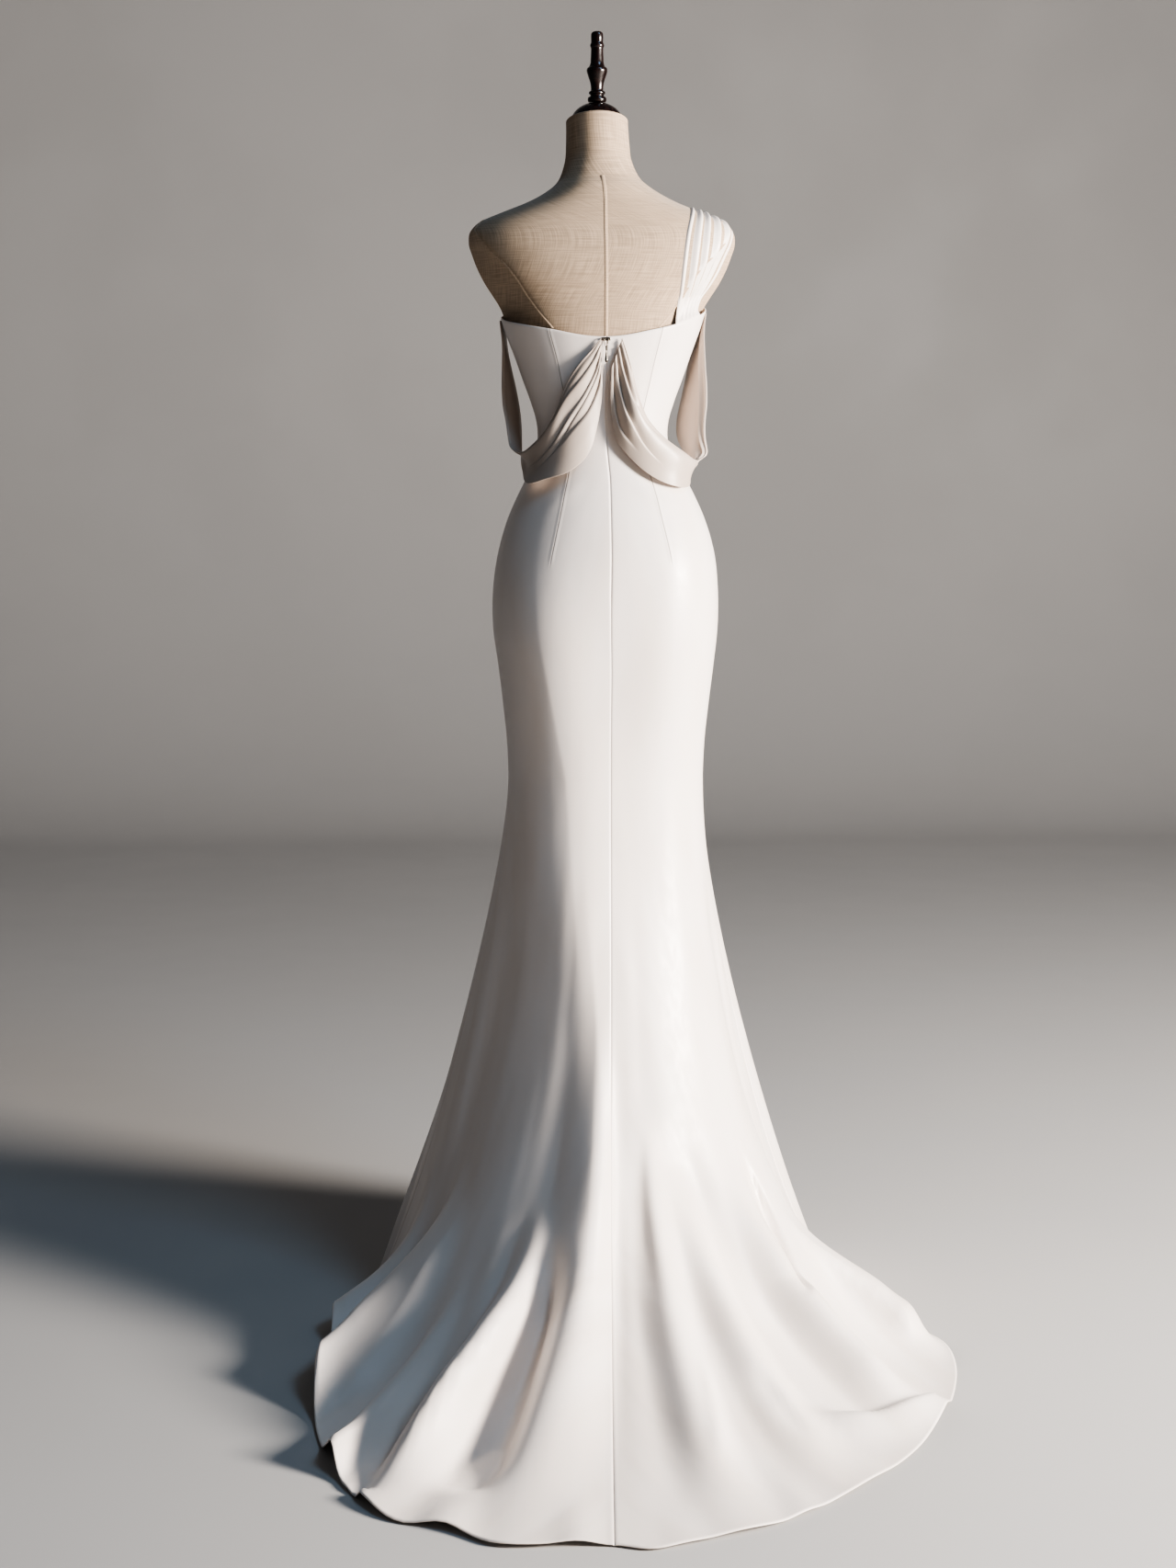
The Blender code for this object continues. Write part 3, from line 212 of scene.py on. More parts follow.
def hermite(knots, values, at):
    """A smooth curve through the knots: between two knots it is the cubic whose end slopes are those of the parabola
    through each knot and its neighbours.  The first and last slope are those of the straight line to the next knot."""
    step = np.diff(knots)
    slope = np.diff(values, axis=0) / step[:, None]
    tangent = np.empty_like(values)
    tangent[1:-1] = (step[1:, None] * slope[:-1] + step[:-1, None] * slope[1:]) / (step[1:] + step[:-1])[:, None]
    tangent[0] = slope[0]
    tangent[-1] = slope[-1]
    at = np.asarray(at, float)
    cell = np.clip(np.searchsorted(knots, at, side="right") - 1, 0, len(step) - 1)
    width = step[cell]
    s = ((at - knots[cell]) / width)[..., None]
    width = width[..., None]
    return ((2 * s**3 - 3 * s**2 + 1) * values[cell] + (s**3 - 2 * s**2 + s) * width * tangent[cell]
            + (3 * s**2 - 2 * s**3) * values[cell + 1] + (s**3 - s**2) * width * tangent[cell + 1])


def around(table, degrees):
    """Reads a table by angle as a closed smooth curve around the body."""
    first = table[0, 0]
    wrapped = (np.asarray(degrees, float) - first) % 360.0 + first
    before, after = table[-3:].copy(), table[:4].copy()
    before[:, 0] -= 360.0
    after[:, 0] += 360.0
    full = np.vstack([before, table, after])
    return hermite(full[:, 0], full[:, 1:], wrapped)


def by_height(table, height):
    """Reads a table by height, highest first."""
    return hermite(-table[:, 0], table[:, 1:], -np.asarray(height, float))


def smoothstep(x):
    """3 x squared less 2 x cubed, held at 0 and 1 outside."""
    x = np.clip(x, 0.0, 1.0)
    return x * x * (3.0 - 2.0 * x)


def window(x, start, grow, stop, die):
    """Rises from 0 to 1 over a length after its start and falls back to 0 over a length before its stop."""
    return smoothstep((x - start) / grow) * smoothstep((stop - x) / die)


def bell(x):
    """A raised cosine, half of 1 plus the cosine of pi times x: 1 at the middle, 0 from 1 outwards."""
    return np.where(np.abs(x) < 1.0, 0.5 + 0.5 * np.cos(np.pi * np.clip(x, -1.0, 1.0)), 0.0)


def unit(vectors):
    """Each vector divided by its length."""
    return vectors / np.maximum(np.linalg.norm(vectors, axis=-1, keepdims=True), 1e-12)


def turn_from(degrees, middle):
    """Degrees from a middle angle, the short way round."""
    return (degrees - middle + 180.0) % 360.0 - 180.0


def off_floor(place, run, lowest=LOWEST_CLOTH):
    """Keeps the cloth below the knee from sinking under its lowest height."""
    place[..., 2] = np.where(run > 1.0, np.maximum(place[..., 2], lowest), place[..., 2])
    return place


def oval(degrees, half_width, back, front, shift):
    """A superellipse: half width times cosine, depth times sine, each to the power 2 over its roundness."""
    turn = np.radians(degrees)
    c, s = np.cos(turn), np.sin(turn)
    power = 2.0 / ROUNDNESS
    x = shift + half_width * np.sign(c) * np.abs(c) ** power
    y = np.where(s > 0, back, front) * np.sign(s) * np.abs(s) ** power
    return x, y


def dress_level(degrees, height):
    """The dress's oval at a height."""
    half_width, back, front, shift = np.moveaxis(by_height(DRESS_LEVELS, height), -1, 0)
    x, y = oval(degrees, half_width, back, front, shift)
    return np.stack([x, y, np.broadcast_to(height, x.shape)], -1)


def dress_base(degrees, run):
    """The dress without folds.  Run 0 is the top edge, 1 the knee and 2 the hem.  Above the knee the cloth follows the
    ovals; below it each line falls in one Bezier curve from the knee, past two bends, to the hem."""
    degrees, run = np.broadcast_arrays(np.asarray(degrees, float), np.asarray(run, float))
    top = around(TOP_EDGE, degrees)[..., 0]
    body = dress_level(degrees, top + (KNEE_HEIGHT - top) * np.clip(run, 0.0, 1.0))
    knee = dress_level(degrees, np.full(degrees.shape, KNEE_HEIGHT))
    hem_x, hem_y, hem_z, out_a, high_a, out_b, high_b = np.moveaxis(around(HEM, degrees), -1, 0)
    hem = np.stack([hem_x, hem_y, hem_z], -1)
    bend_a = knee + (hem - knee) * out_a[..., None]
    bend_a[..., 2] = high_a
    bend_b = knee + (hem - knee) * out_b[..., None]
    bend_b[..., 2] = high_b
    t = np.clip(run - 1.0, 0.0, 1.0)[..., None]
    fall = (1 - t) ** 3 * knee + 3 * (1 - t) ** 2 * t * bend_a + 3 * (1 - t) * t * t * bend_b + t**3 * hem
    return np.where(run[..., None] > 1.0, fall, body)


def fold_height(degrees, run):
    """The large folds: one bell across each, which widens with the skirt and rises and fades along it."""
    t = np.clip(run - 1.0, 0.0, 1.0)
    lift = np.zeros(np.broadcast(degrees, run).shape)
    for knee_deg, hem_deg, half, start, full, fade, height, left in FOLDS:
        middle = knee_deg + (hem_deg - knee_deg) * t
        along = smoothstep((t - start) / (full - start))
        along = along * (1.0 - (1.0 - left) * smoothstep((t - fade) / max(1.0 - fade, 1e-6)))
        lift = lift + height * bell(turn_from(degrees, middle) / half) * along
    return lift


def base_normal(degrees, run):
    """The outward normal of the dress without folds, from its slopes around and down."""
    side, down = 0.2, 0.004
    across = dress_base(degrees + side, run) - dress_base(degrees - side, run)
    along = dress_base(degrees, np.minimum(run + down, 2.0)) - dress_base(degrees, np.maximum(run - down, 0.0))
    return unit(np.cross(along, across))


def dress(degrees, run, away=0.0):
    """The dress with its large folds, or a surface a distance outside it."""
    degrees, run = np.broadcast_arrays(np.asarray(degrees, float), np.asarray(run, float))
    place = dress_base(degrees, run)
    return off_floor(place + base_normal(degrees, run) * (fold_height(degrees, run) + away)[..., None], run)


def crease_height(place, normal, crease):
    """One listed crease.  Its path is the parabola through its three points, laid on the dress.  Across it the
    height falls as a Gauss curve, or as a pointed exponential where it is crisp, with its own width on each side;
    along it the height grows and dies."""
    a_deg, a_run, m_deg, m_run, b_deg, b_run, before, after, height, grow, die, crisp = crease
    s = np.linspace(0.0, 1.0, CREASE_STEPS)
    weights = [2 * (s - 0.5) * (s - 1), 4 * s * (1 - s), 2 * s * (s - 0.5)]
    degrees = weights[0] * a_deg + weights[1] * m_deg + weights[2] * b_deg
    run = weights[0] * a_run + weights[1] * m_run + weights[2] * b_run
    path = dress(degrees, np.clip(run, 0.0, 2.0))
    nearest = np.full(place.shape[:-1], 9.0)
    share = np.zeros(place.shape[:-1])
    side = np.ones(place.shape[:-1])
    for i in range(CREASE_STEPS - 1):
        piece = path[i + 1] - path[i]
        length = max(float(piece @ piece), 1e-12)
        at = np.clip(((place - path[i]) @ piece) / length, 0.0, 1.0)
        off = place - path[i] - at[..., None] * piece
        distance = np.linalg.norm(off, axis=-1)
        closer = distance < nearest
        nearest = np.where(closer, distance, nearest)
        share = np.where(closer, (i + at) / (CREASE_STEPS - 1), share)
        turn = np.einsum("...i,...i->...", np.cross(piece, off), normal)
        side = np.where(closer, turn, side)
    width = np.where(side < 0.0, after, before)
    x = nearest / width
    across = crisp * np.exp(-CRISP_FALL * x) + (1.0 - crisp) * np.exp(-(x**2))
    return height * across * window(share, 0.0, grow, 1.0, die)


def fine_dress(degrees, run):
    """The dress with its folds, its creases and its lifted hem."""
    normal = base_normal(degrees, run)
    place = dress(degrees, run)
    lift = np.zeros(place.shape[:-1])
    for crease in CREASES:
        lift = lift + crease_height(place, normal, crease)
    place = place + normal * lift[..., None]
    hem = smoothstep((run - HEM_LIFT_START) / (2.0 - HEM_LIFT_START))
    for middle, half, rise in HEM_LIFTS:
        place[..., 2] += rise * bell(turn_from(degrees, middle) / half) * hem
    return off_floor(place, run)


# ---- the form, drapes and strap ----

# height, half width, back depth, front depth, shift toward +X, shift toward +Y
FORM_LEVELS = np.array([
    (1.6600, 0.0520, 0.0560, 0.0600, 0.0045, -0.004),
    (1.6400, 0.0700, 0.0650, 0.0690, 0.0015, 0.000),
    (1.6200, 0.1050, 0.0720, 0.0740, 0.0000, 0.000),
    (1.6030, 0.1480, 0.0770, 0.0780, 0.0000, 0.000),
    (1.5920, 0.1740, 0.0800, 0.0820, 0.0000, 0.000),
    (1.5800, 0.1870, 0.0840, 0.0880, 0.0000, 0.000),
    (1.5630, 0.1905, 0.0900, 0.0960, 0.0000, 0.000),
    (1.5430, 0.1850, 0.0950, 0.1040, 0.0000, 0.000),
    (1.5240, 0.1775, 0.0980, 0.1110, 0.0000, 0.000),
    (1.5050, 0.1675, 0.0985, 0.1160, 0.0000, 0.000),
])
BARE_FROM = 1.487
FORM_BOTTOM = 0.93
FRONT_EASE = 0.002
HIP_EASE = 0.004
HIP_EASE_FROM = 1.25

# height, distance from the middle of the arm plates' edge
ARM_EDGE = np.array([
    (1.600, 0.1860), (1.585, 0.1840), (1.568, 0.1760), (1.546, 0.1580), (1.529, 0.1400), (1.510, 0.1250),
    (1.490, 0.1120), (1.477, 0.1030), (1.457, 0.0880), (1.440, 0.0740), (1.420, 0.0600),
])
ARM_PLATE_START = 1.432
ARM_PLATE_BLEND = 0.045
ARM_PLATE_END = 1.600
ARM_PLATE_FADE = 0.02
ARM_EDGE_ROUND = 0.005

NECK_FOOT = 1.664
NECK_FLARE = 0.13
NECK_TILT = math.radians(12.5)
NECK_TOP = 1.7320
NECK_RADIUS = 0.0440
NECK_DEPTH = 0.0490
NECK_SHIFT_X = 0.0070
NECK_SHIFT_Y = -0.0100
# shares of the neck's height, and heights below it, that carry a ring of the torso; where its plain levels take over
NECK_RINGS = (1.0, 0.86, 0.5, 0.2)
SHOULDER_RINGS = (1.655, 1.642, 1.630, 1.619, 1.609, 1.600)
FLARE_POWER = 2.2

# distance from the axis, height
CAP_PROFILE = [
    (0.0, 0.0260), (0.0100, 0.0252), (0.0190, 0.0226), (0.0270, 0.0180), (0.0330, 0.0120), (0.0362, 0.0060),
    (0.0372, 0.0020), (0.0368, 0.0), (0.0, 0.0),
]
FINIAL_PROFILE = [
    (0.0, 0.0972), (0.0050, 0.0969), (0.0078, 0.0950), (0.0086, 0.0910), (0.0085, 0.0850), (0.0086, 0.0815),
    (0.0097, 0.0793), (0.0098, 0.0765), (0.0088, 0.0745), (0.0087, 0.0700), (0.0090, 0.0620), (0.0097, 0.0530),
    (0.0113, 0.0490), (0.0140, 0.0465), (0.0148, 0.0435), (0.0138, 0.0390), (0.0118, 0.0330), (0.0096, 0.0260),
    (0.0087, 0.0190), (0.0090, 0.0158), (0.0114, 0.0140), (0.0115, 0.0116), (0.0098, 0.0098), (0.0099, 0.0080),
    (0.0126, 0.0064), (0.0134, 0.0030), (0.0124, 0.0), (0.0, 0.0),
]

# upper rim's angle, height and distance off the dress, then the lower rim's, from the gathers to the underarm
LEFT_DRAPE = np.array([
    (87.6, 1.426, 0.0046, 87.6, 1.388, 0.0056),
    (82.5, 1.410, 0.0066, 86.6, 1.335, 0.0068),
    (74.0, 1.389, 0.0090, 79.0, 1.275, 0.0105),
    (64.0, 1.360, 0.0140, 66.0, 1.243, 0.0165),
    (52.0, 1.318, 0.0220, 50.0, 1.231, 0.0190),
    (36.0, 1.287, 0.0240, 32.0, 1.224, 0.0160),
    (15.5, 1.268, 0.0290, 13.0, 1.238, 0.0120),
    (5.5, 1.280, 0.0445, -5.0, 1.260, 0.0200),
    (1.5, 1.330, 0.0450, -19.0, 1.291, 0.0280),
    (-0.5, 1.385, 0.0265, -25.5, 1.338, 0.0297),
    (-1.5, 1.425, 0.0110, -23.0, 1.397, 0.0183),
    (-2.0, 1.4545, 0.0030, -21.5, 1.4545, 0.0030),
])
RIGHT_DRAPE = np.array([
    (97.5, 1.426, 0.0046, 92.4, 1.388, 0.0056),
    (101.5, 1.402, 0.0068, 92.6, 1.335, 0.0068),
    (107.5, 1.365, 0.0080, 96.5, 1.288, 0.0080),
    (115.5, 1.332, 0.0094, 106.0, 1.257, 0.0092),
    (126.5, 1.305, 0.0130, 117.0, 1.234, 0.0104),
    (142.5, 1.280, 0.0190, 131.0, 1.221, 0.0114),
    (160.0, 1.262, 0.0260, 148.0, 1.219, 0.0105),
    (170.0, 1.256, 0.0370, 165.0, 1.238, 0.0115),
    (176.0, 1.272, 0.0560, 184.0, 1.258, 0.0200),
    (178.5, 1.330, 0.0530, 203.0, 1.285, 0.0280),
    (180.0, 1.390, 0.0300, 207.0, 1.345, 0.0270),
    (181.0, 1.435, 0.0120, 203.5, 1.405, 0.0150),
    (182.0, 1.4660, 0.0036, 201.0, 1.4660, 0.0036),
])
DRAPE_WALL = 0.0011
DRAPE_BELLY = -0.010
LEFT_SWELL = 0.006
RIGHT_SWELL = 0.022
SWELL_CREST = 0.36
# shares of a drape's length: the step of its normal, where its belly starts and how fast it fades, where its swell
# starts, grows, stops and dies, and the length of its gathers; the share of a groove's depth left in the gathers
NORMAL_STEP = 0.004
BELLY_START, BELLY_FADE = 0.12, 0.25
SWELL_START, SWELL_GROW, SWELL_STOP, SWELL_DIE = 0.06, 0.16, 0.66, 0.24
GATHER_LENGTH, GATHER_DEPTH = 0.06, 0.45
# share of a groove's length over which it fades out, and shares of a pleat's height at which the cloth is level
GROOVE_FADE = 0.45
GROOVE_LEVEL, STRAP_LEVEL = 0.25, 0.30

# Grooves between a drape's pleats: three places across it (0 the upper rim, 1 the lower) and along it in turn, the
# first at the gathers, then the width of the groove's gentle upper side, of its steep lower side, and its depth
LEFT_PLEATS = np.array([
    (0.03, 0.00, 0.03, 0.30, 0.06, 0.95, 0.060, 0.040, 0.0026),
    (0.20, 0.00, 0.13, 0.22, 0.01, 0.46, 0.120, 0.026, 0.0030),
    (0.46, 0.00, 0.35, 0.18, 0.56, 0.52, 0.150, 0.026, 0.0038),
    (0.58, 0.00, 0.43, 0.18, 0.74, 0.46, 0.060, 0.024, 0.0020),
    (0.84, 0.00, 0.56, 0.20, 0.64, 0.44, 0.110, 0.028, 0.0032),
])
RIGHT_PLEATS = np.array([
    (0.05, 0.00, 0.03, 0.40, 0.03, 1.00, 0.045, 0.030, 0.0034),
    (0.30, 0.00, 0.19, 0.26, 0.17, 0.92, 0.100, 0.020, 0.0040),
    (0.56, 0.00, 0.50, 0.16, 0.66, 0.38, 0.140, 0.028, 0.0040),
    (0.84, 0.00, 0.80, 0.14, 0.76, 0.28, 0.100, 0.034, 0.0032),
])

STRAP_CENTRE = np.array([-0.100, 0.000, 1.500])
# a point of the strap's neck-side edge, then of its arm-side edge, from the back over the shoulder to the front
STRAP_ROUTE = np.array([
    (-0.104, 0.092, 1.488, -0.156, 0.026, 1.490),
    (-0.108, 0.090, 1.530, -0.176, 0.020, 1.520),
    (-0.114, 0.078, 1.572, -0.190, 0.020, 1.552),
    (-0.121, 0.050, 1.598, -0.194, 0.012, 1.578),
    (-0.124, 0.000, 1.603, -0.190, -0.005, 1.593),
    (-0.124, -0.050, 1.590, -0.188, -0.030, 1.580),
    (-0.120, -0.085, 1.560, -0.176, -0.055, 1.550),
    (-0.115, -0.104, 1.522, -0.160, -0.075, 1.518),
])
STRAP_BACK = (132.6, 159.5)
STRAP_FRONT = (227.0, 202.0)
STRAP_OFF = 0.0050
STRAP_END = 0.10
STRAP_END_RISE = 0.016
STRAP_SEAT = 0.0004
STRAP_FLAT_ENDS = 0.10
STRAP_END_RELIEF = 0.6
FORM_HIGHEST = 1.66
HALVINGS = 20

# Pleats of the strap: place across it at its back end, over the shoulder and at its front end, width on the neck
# side, width on the arm side, height
STRAP_PLEATS = np.array([
    (0.06, 0.05, 0.08, 0.040, 0.022, 0.0034),
    (0.26, 0.22, 0.24, 0.070, 0.020, 0.0046),
    (0.42, 0.36, 0.40, 0.060, 0.018, 0.0048),
    (0.58, 0.54, 0.57, 0.070, 0.020, 0.0046),
    (0.74, 0.73, 0.76, 0.070, 0.022, 0.0042),
    (0.94, 0.93, 0.92, 0.045, 0.030, 0.0022),
])


def form_sizes(height):
    """Half width, depths and shifts of the form at a height: the dress's less its wall and ease under the dress, its
    own above."""
    inset = np.array([1, 1, 1, 0]) * FORM_INSET + np.array([0, 0, FRONT_EASE, 0])
    loose = HIP_EASE * smoothstep((HIP_EASE_FROM - height) / 0.08)
    under_dress = by_height(DRESS_LEVELS, np.clip(height, DRESS_LEVELS[-1, 0], BARE_FROM)) - inset
    under_dress[..., :3] -= loose[..., None]
    under_dress = np.concatenate([under_dress, np.zeros(height.shape + (1,))], -1)
    top = by_height(DRESS_LEVELS, np.array(BARE_FROM)) - inset
    table = np.vstack([FORM_LEVELS, np.concatenate([[BARE_FROM], top, [0.0]])])
    bare = by_height(table, np.clip(height, BARE_FROM, FORM_LEVELS[0, 0]))
    return np.moveaxis(np.where((height > BARE_FROM)[..., None], bare, under_dress), -1, 0)


def arm_edge(height, half_width):
    """How far from the middle an arm plate starts at a height."""
    return np.minimum(by_height(ARM_EDGE, np.clip(height, 1.42, 1.60))[..., 0], half_width * 0.97)


def plate_cut(off, depth_here, depth, height, half_width):
    """The flat arm plates: outside its edge the form's depth follows the straight line from the edge to the side,
    blended with the oval by a smooth minimum."""
    edge = arm_edge(height, half_width)
    at_edge = depth * np.maximum(1.0 - (edge / half_width) ** ROUNDNESS, 0.0) ** (1.0 / ROUNDNESS)
    plate = at_edge * (half_width - off) / (half_width - edge)
    share = window(height, ARM_PLATE_START, ARM_PLATE_BLEND, ARM_PLATE_END, ARM_PLATE_FADE)
    blend = np.clip(0.5 + 0.5 * (plate - depth_here) / ARM_EDGE_ROUND, 0.0, 1.0)
    cut = plate * (1 - blend) + depth_here * blend - ARM_EDGE_ROUND * blend * (1 - blend)
    cut = np.where(off > edge * 0.75, np.maximum(cut, 0.0), depth_here)
    return depth_here * (1 - share) + cut * share


def form_level(degrees, height):
    """One level of the form: its oval with the arm plates cut."""
    height = np.broadcast_to(np.asarray(height, float), np.shape(degrees))
    half_width, back, front, shift_x, shift_y = form_sizes(height)
    x, y = oval(degrees, half_width, back, front, shift_x)
    y = np.sign(y) * plate_cut(np.abs(x - shift_x), np.abs(y), np.where(y > 0, back, front), height, half_width)
    return np.stack([x, y + shift_y, height], -1)


def form_depth(x, height, back_side):
    """How deep the form is at a distance from the middle, on its back or its front: the oval solved for depth."""
    half_width, back, front, shift_x, shift_y = form_sizes(height)
    off = np.abs(x - shift_x)
    depth = np.where(back_side, back, front)
    oval_depth = depth * np.maximum(1.0 - (off / half_width) ** ROUNDNESS, 0.0) ** (1.0 / ROUNDNESS)
    deep = plate_cut(off, oval_depth, depth, height, half_width) + np.where(back_side, shift_y, -shift_y)
    return np.where(off < half_width, deep, -1.0)


def on_form(direction):
    """How far the form's surface lies from the strap's centre in each direction, by halving."""
    near, far = np.zeros(direction.shape[:-1]), np.full(direction.shape[:-1], 0.30)
    for _ in range(HALVINGS):
        middle = 0.5 * (near + far)
        place = STRAP_CENTRE + direction * middle[..., None]
        height = np.clip(place[..., 2], 1.30, FORM_HIGHEST)
        inside = np.abs(place[..., 1]) < form_depth(place[..., 0], height, place[..., 1] > 0)
        inside &= place[..., 2] < FORM_HIGHEST
        near, far = np.where(inside, middle, near), np.where(inside, far, middle)
    return near


def off_dress(degrees, height, away):
    """A point level with a height of the plain dress, moved straight out from its side."""
    step = 0.1
    across = dress_level(degrees + step, height) - dress_level(degrees - step, height)
    outward = np.stack([across[..., 1], -across[..., 0], np.zeros(across.shape[:-1])], -1)
    return dress_level(degrees, height) + unit(outward) * away[..., None]


def pleat(x, before, after):
    """One soft pleat: a Gauss curve with its own width on each side."""
    return np.exp(-((x / np.where(x < 0.0, before, after)) ** 2))


def drape_rims(table, along):
    """The drape's upper and lower rim."""
    rims = np.moveaxis(hermite(np.linspace(0.0, 1.0, len(table)), table, along), -1, 0)
    return off_dress(*rims[:3]), off_dress(*rims[3:])


def drape_surface(table, pleats, swell, along, across):
    """A hanging loop ruled between its two rims and moved along its normal, which points away from the body: inward
    by a belly, a sine across it, outward behind the body by a swell that crests nearer its upper rim, and inward by
    each pleat's groove, which moves across the drape as it leaves the gathers."""
    upper, lower = drape_rims(table, along)
    upper_ahead, lower_ahead = drape_rims(table, np.minimum(along + NORMAL_STEP, 1.0))
    upper_behind, lower_behind = drape_rims(table, np.maximum(along - NORMAL_STEP, 0.0))
    normal = unit(np.cross(upper - lower, upper_ahead + lower_ahead - upper_behind - lower_behind))
    if table[0, 0] > 90.0:
        normal = -normal
    lift = DRAPE_BELLY * np.sin(np.pi * across) * window(along, BELLY_START, BELLY_FADE, 1.0, BELLY_FADE)
    early = across ** (np.log(0.5) / np.log(SWELL_CREST))
    behind = window(along, SWELL_START, SWELL_GROW, SWELL_STOP, SWELL_DIE)
    lift = lift + swell * np.sin(np.pi * early) * behind
    root = GATHER_DEPTH + (1.0 - GATHER_DEPTH) * smoothstep(along / GATHER_LENGTH)
    for row in pleats:
        places, stations, (gentle, steep, height) = row[0:6:2], row[1:6:2], row[6:]
        crest = hermite(stations, places[:, None], np.clip(along, 0.0, stations[-1]))[..., 0]
        fade = root * smoothstep((stations[-1] - along) / (GROOVE_FADE * stations[-1]))
        if stations[-1] > 0.9:
            fade = root * smoothstep((1.0 - along) / 0.10 + 0.3)
        lift = lift - height * fade * (pleat(across - crest, gentle, steep) - GROOVE_LEVEL)
    return upper + (lower - upper) * across[..., None] + normal * lift[..., None]


def strap_surface(along, across):
    """The strap lies on the shoulder: its route's edges give directions from a centre inside the shoulder, the cloth
    stands a little off the form there, and pleats run along it.  Both ends meet the top edge of the dress."""
    stations = np.linspace(0.0, 1.0, len(STRAP_ROUTE) + 2)
    route = STRAP_ROUTE.reshape(-1, 2, 3)
    edges = []
    for side in (0, 1):
        ends = [dress(np.array(end[side]), np.array(0.0)) for end in (STRAP_BACK, STRAP_FRONT)]
        points = np.vstack([ends[0], route[:, side], ends[1]]) - STRAP_CENTRE
        edges.append(hermite(stations, unit(points), along))
    direction = unit(edges[0] + (edges[1] - edges[0]) * across[..., None])
    away = on_form(direction) + STRAP_OFF
    middle = window(along, 0.0, STRAP_FLAT_ENDS, 1.0, STRAP_FLAT_ENDS)
    relief = np.zeros(along.shape)
    for back, top, front, before, after, height in STRAP_PLEATS:
        crest = hermite(np.array([0.0, 0.5, 1.0]), np.array([[back], [top], [front]]), along)[..., 0]
        relief = relief + height * (pleat(across - crest, before, after) - STRAP_LEVEL)
    place = STRAP_CENTRE + direction * (away + relief * middle)[..., None]
    outward = unit(np.stack([direction[..., 0], direction[..., 1], np.zeros(along.shape)], -1))
    for end, at in ((STRAP_BACK, along / STRAP_END), (STRAP_FRONT, (1.0 - along) / STRAP_END)):
        degrees = end[0] + (end[1] - end[0]) * across
        seated = dress(degrees, np.zeros(degrees.shape))
        seated[..., 2] += STRAP_SEAT + STRAP_END_RISE * np.clip(at, 0.0, 1.0)
        seated = seated + outward * (STRAP_END_RELIEF * relief * smoothstep(at * 2.5))[..., None]
        share = (1.0 - smoothstep(at))[..., None]
        place = place * (1.0 - share) + seated * share
    return place


# ---- meshes ----

def grid_quads(rows, columns, closed=False, flip=False):
    """Quads of a grid of rows by columns, whose columns may close on themselves."""
    last = columns if closed else columns - 1
    r, c = np.meshgrid(np.arange(rows - 1), np.arange(last), indexing="ij")
    right = (c + 1) % columns
    quads = np.stack([r * columns + c, (r + 1) * columns + c, (r + 1) * columns + right, r * columns + right], -1)
    quads = quads.reshape(-1, 4)
    return quads[:, ::-1] if flip else quads


def piece(name, points, quads, look, slot, body, replaced=(), attributes=None):
    """An object from arrays of points and quads, smooth, at the origin, riding its body."""
    mesh = bpy.data.meshes.new(name)
    points = np.ascontiguousarray(points, np.float32).reshape(-1, 3)
    quads = np.ascontiguousarray(quads, np.int32)
    mesh.vertices.add(len(points))
    mesh.vertices.foreach_set("co", points.ravel())
    mesh.loops.add(quads.size)
    mesh.loops.foreach_set("vertex_index", quads.ravel())
    mesh.polygons.add(len(quads))
    mesh.polygons.foreach_set("loop_start", np.arange(0, quads.size, 4, dtype=np.int32))
    mesh.polygons.foreach_set("use_smooth", np.ones(len(quads), bool))
    mesh.update(calc_edges=True)
    for key, values in (attributes or {}).items():
        values = np.ascontiguousarray(values, np.float32)
        kind = "FLOAT" if values.ndim == 1 else "FLOAT_VECTOR"
        field = mesh.attributes.new(key, kind, "POINT")
        field.data.foreach_set("value" if values.ndim == 1 else "vector", values.ravel())
    mesh.validate()
    mesh.materials.append(look)
    thing = bpy.data.objects.new(name, mesh)
    bpy.context.scene.collection.objects.link(thing)
    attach(thing, body)
    if replaced:
        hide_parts(*replaced)
    return thing


def thicken(thing, thickness):
    """Gives an open sheet its thickness on the inner side."""
    solid = thing.modifiers.new("wall", "SOLIDIFY")
    solid.thickness = thickness
    solid.offset = -1.0
    solid.use_rim = True


def joined(shapes):
    """One array of points and one of quads from several."""
    points, quads, start = [], [], 0
    for p, q in shapes:
        p = np.asarray(p, float).reshape(-1, 3)
        points.append(p)
        quads.append(np.asarray(q) + start)
        start += len(p)
    return np.concatenate(points), np.concatenate(quads)


def lathe(profile, steps, fine=6):
    """A profile turned about Z: the smooth curve through its points, spaced by the root of their distances, and then a
    straight line to its last point.  Its first and last points lie on the axis."""
    profile = np.array(profile, float)
    knots = np.concatenate([[0.0], np.cumsum(np.linalg.norm(np.diff(profile, axis=0), axis=1) ** 0.5)])
    outer = hermite(knots[:-1], profile[:-1], np.linspace(0.0, knots[-2], fine * (len(profile) - 2) + 1))
    outer[:, 0] = np.maximum(outer[:, 0], 0.00004)
    outer = np.vstack([outer, [0.00004, profile[-1, 1]]])
    turn = np.linspace(0.0, 2.0 * np.pi, steps, endpoint=False)
    points = np.stack([outer[:, :1] * np.cos(turn), outer[:, :1] * np.sin(turn),
                       np.broadcast_to(outer[:, 1:], (len(outer), steps))], -1)
    return points.reshape(-1, 3), grid_quads(len(outer), steps, closed=True)


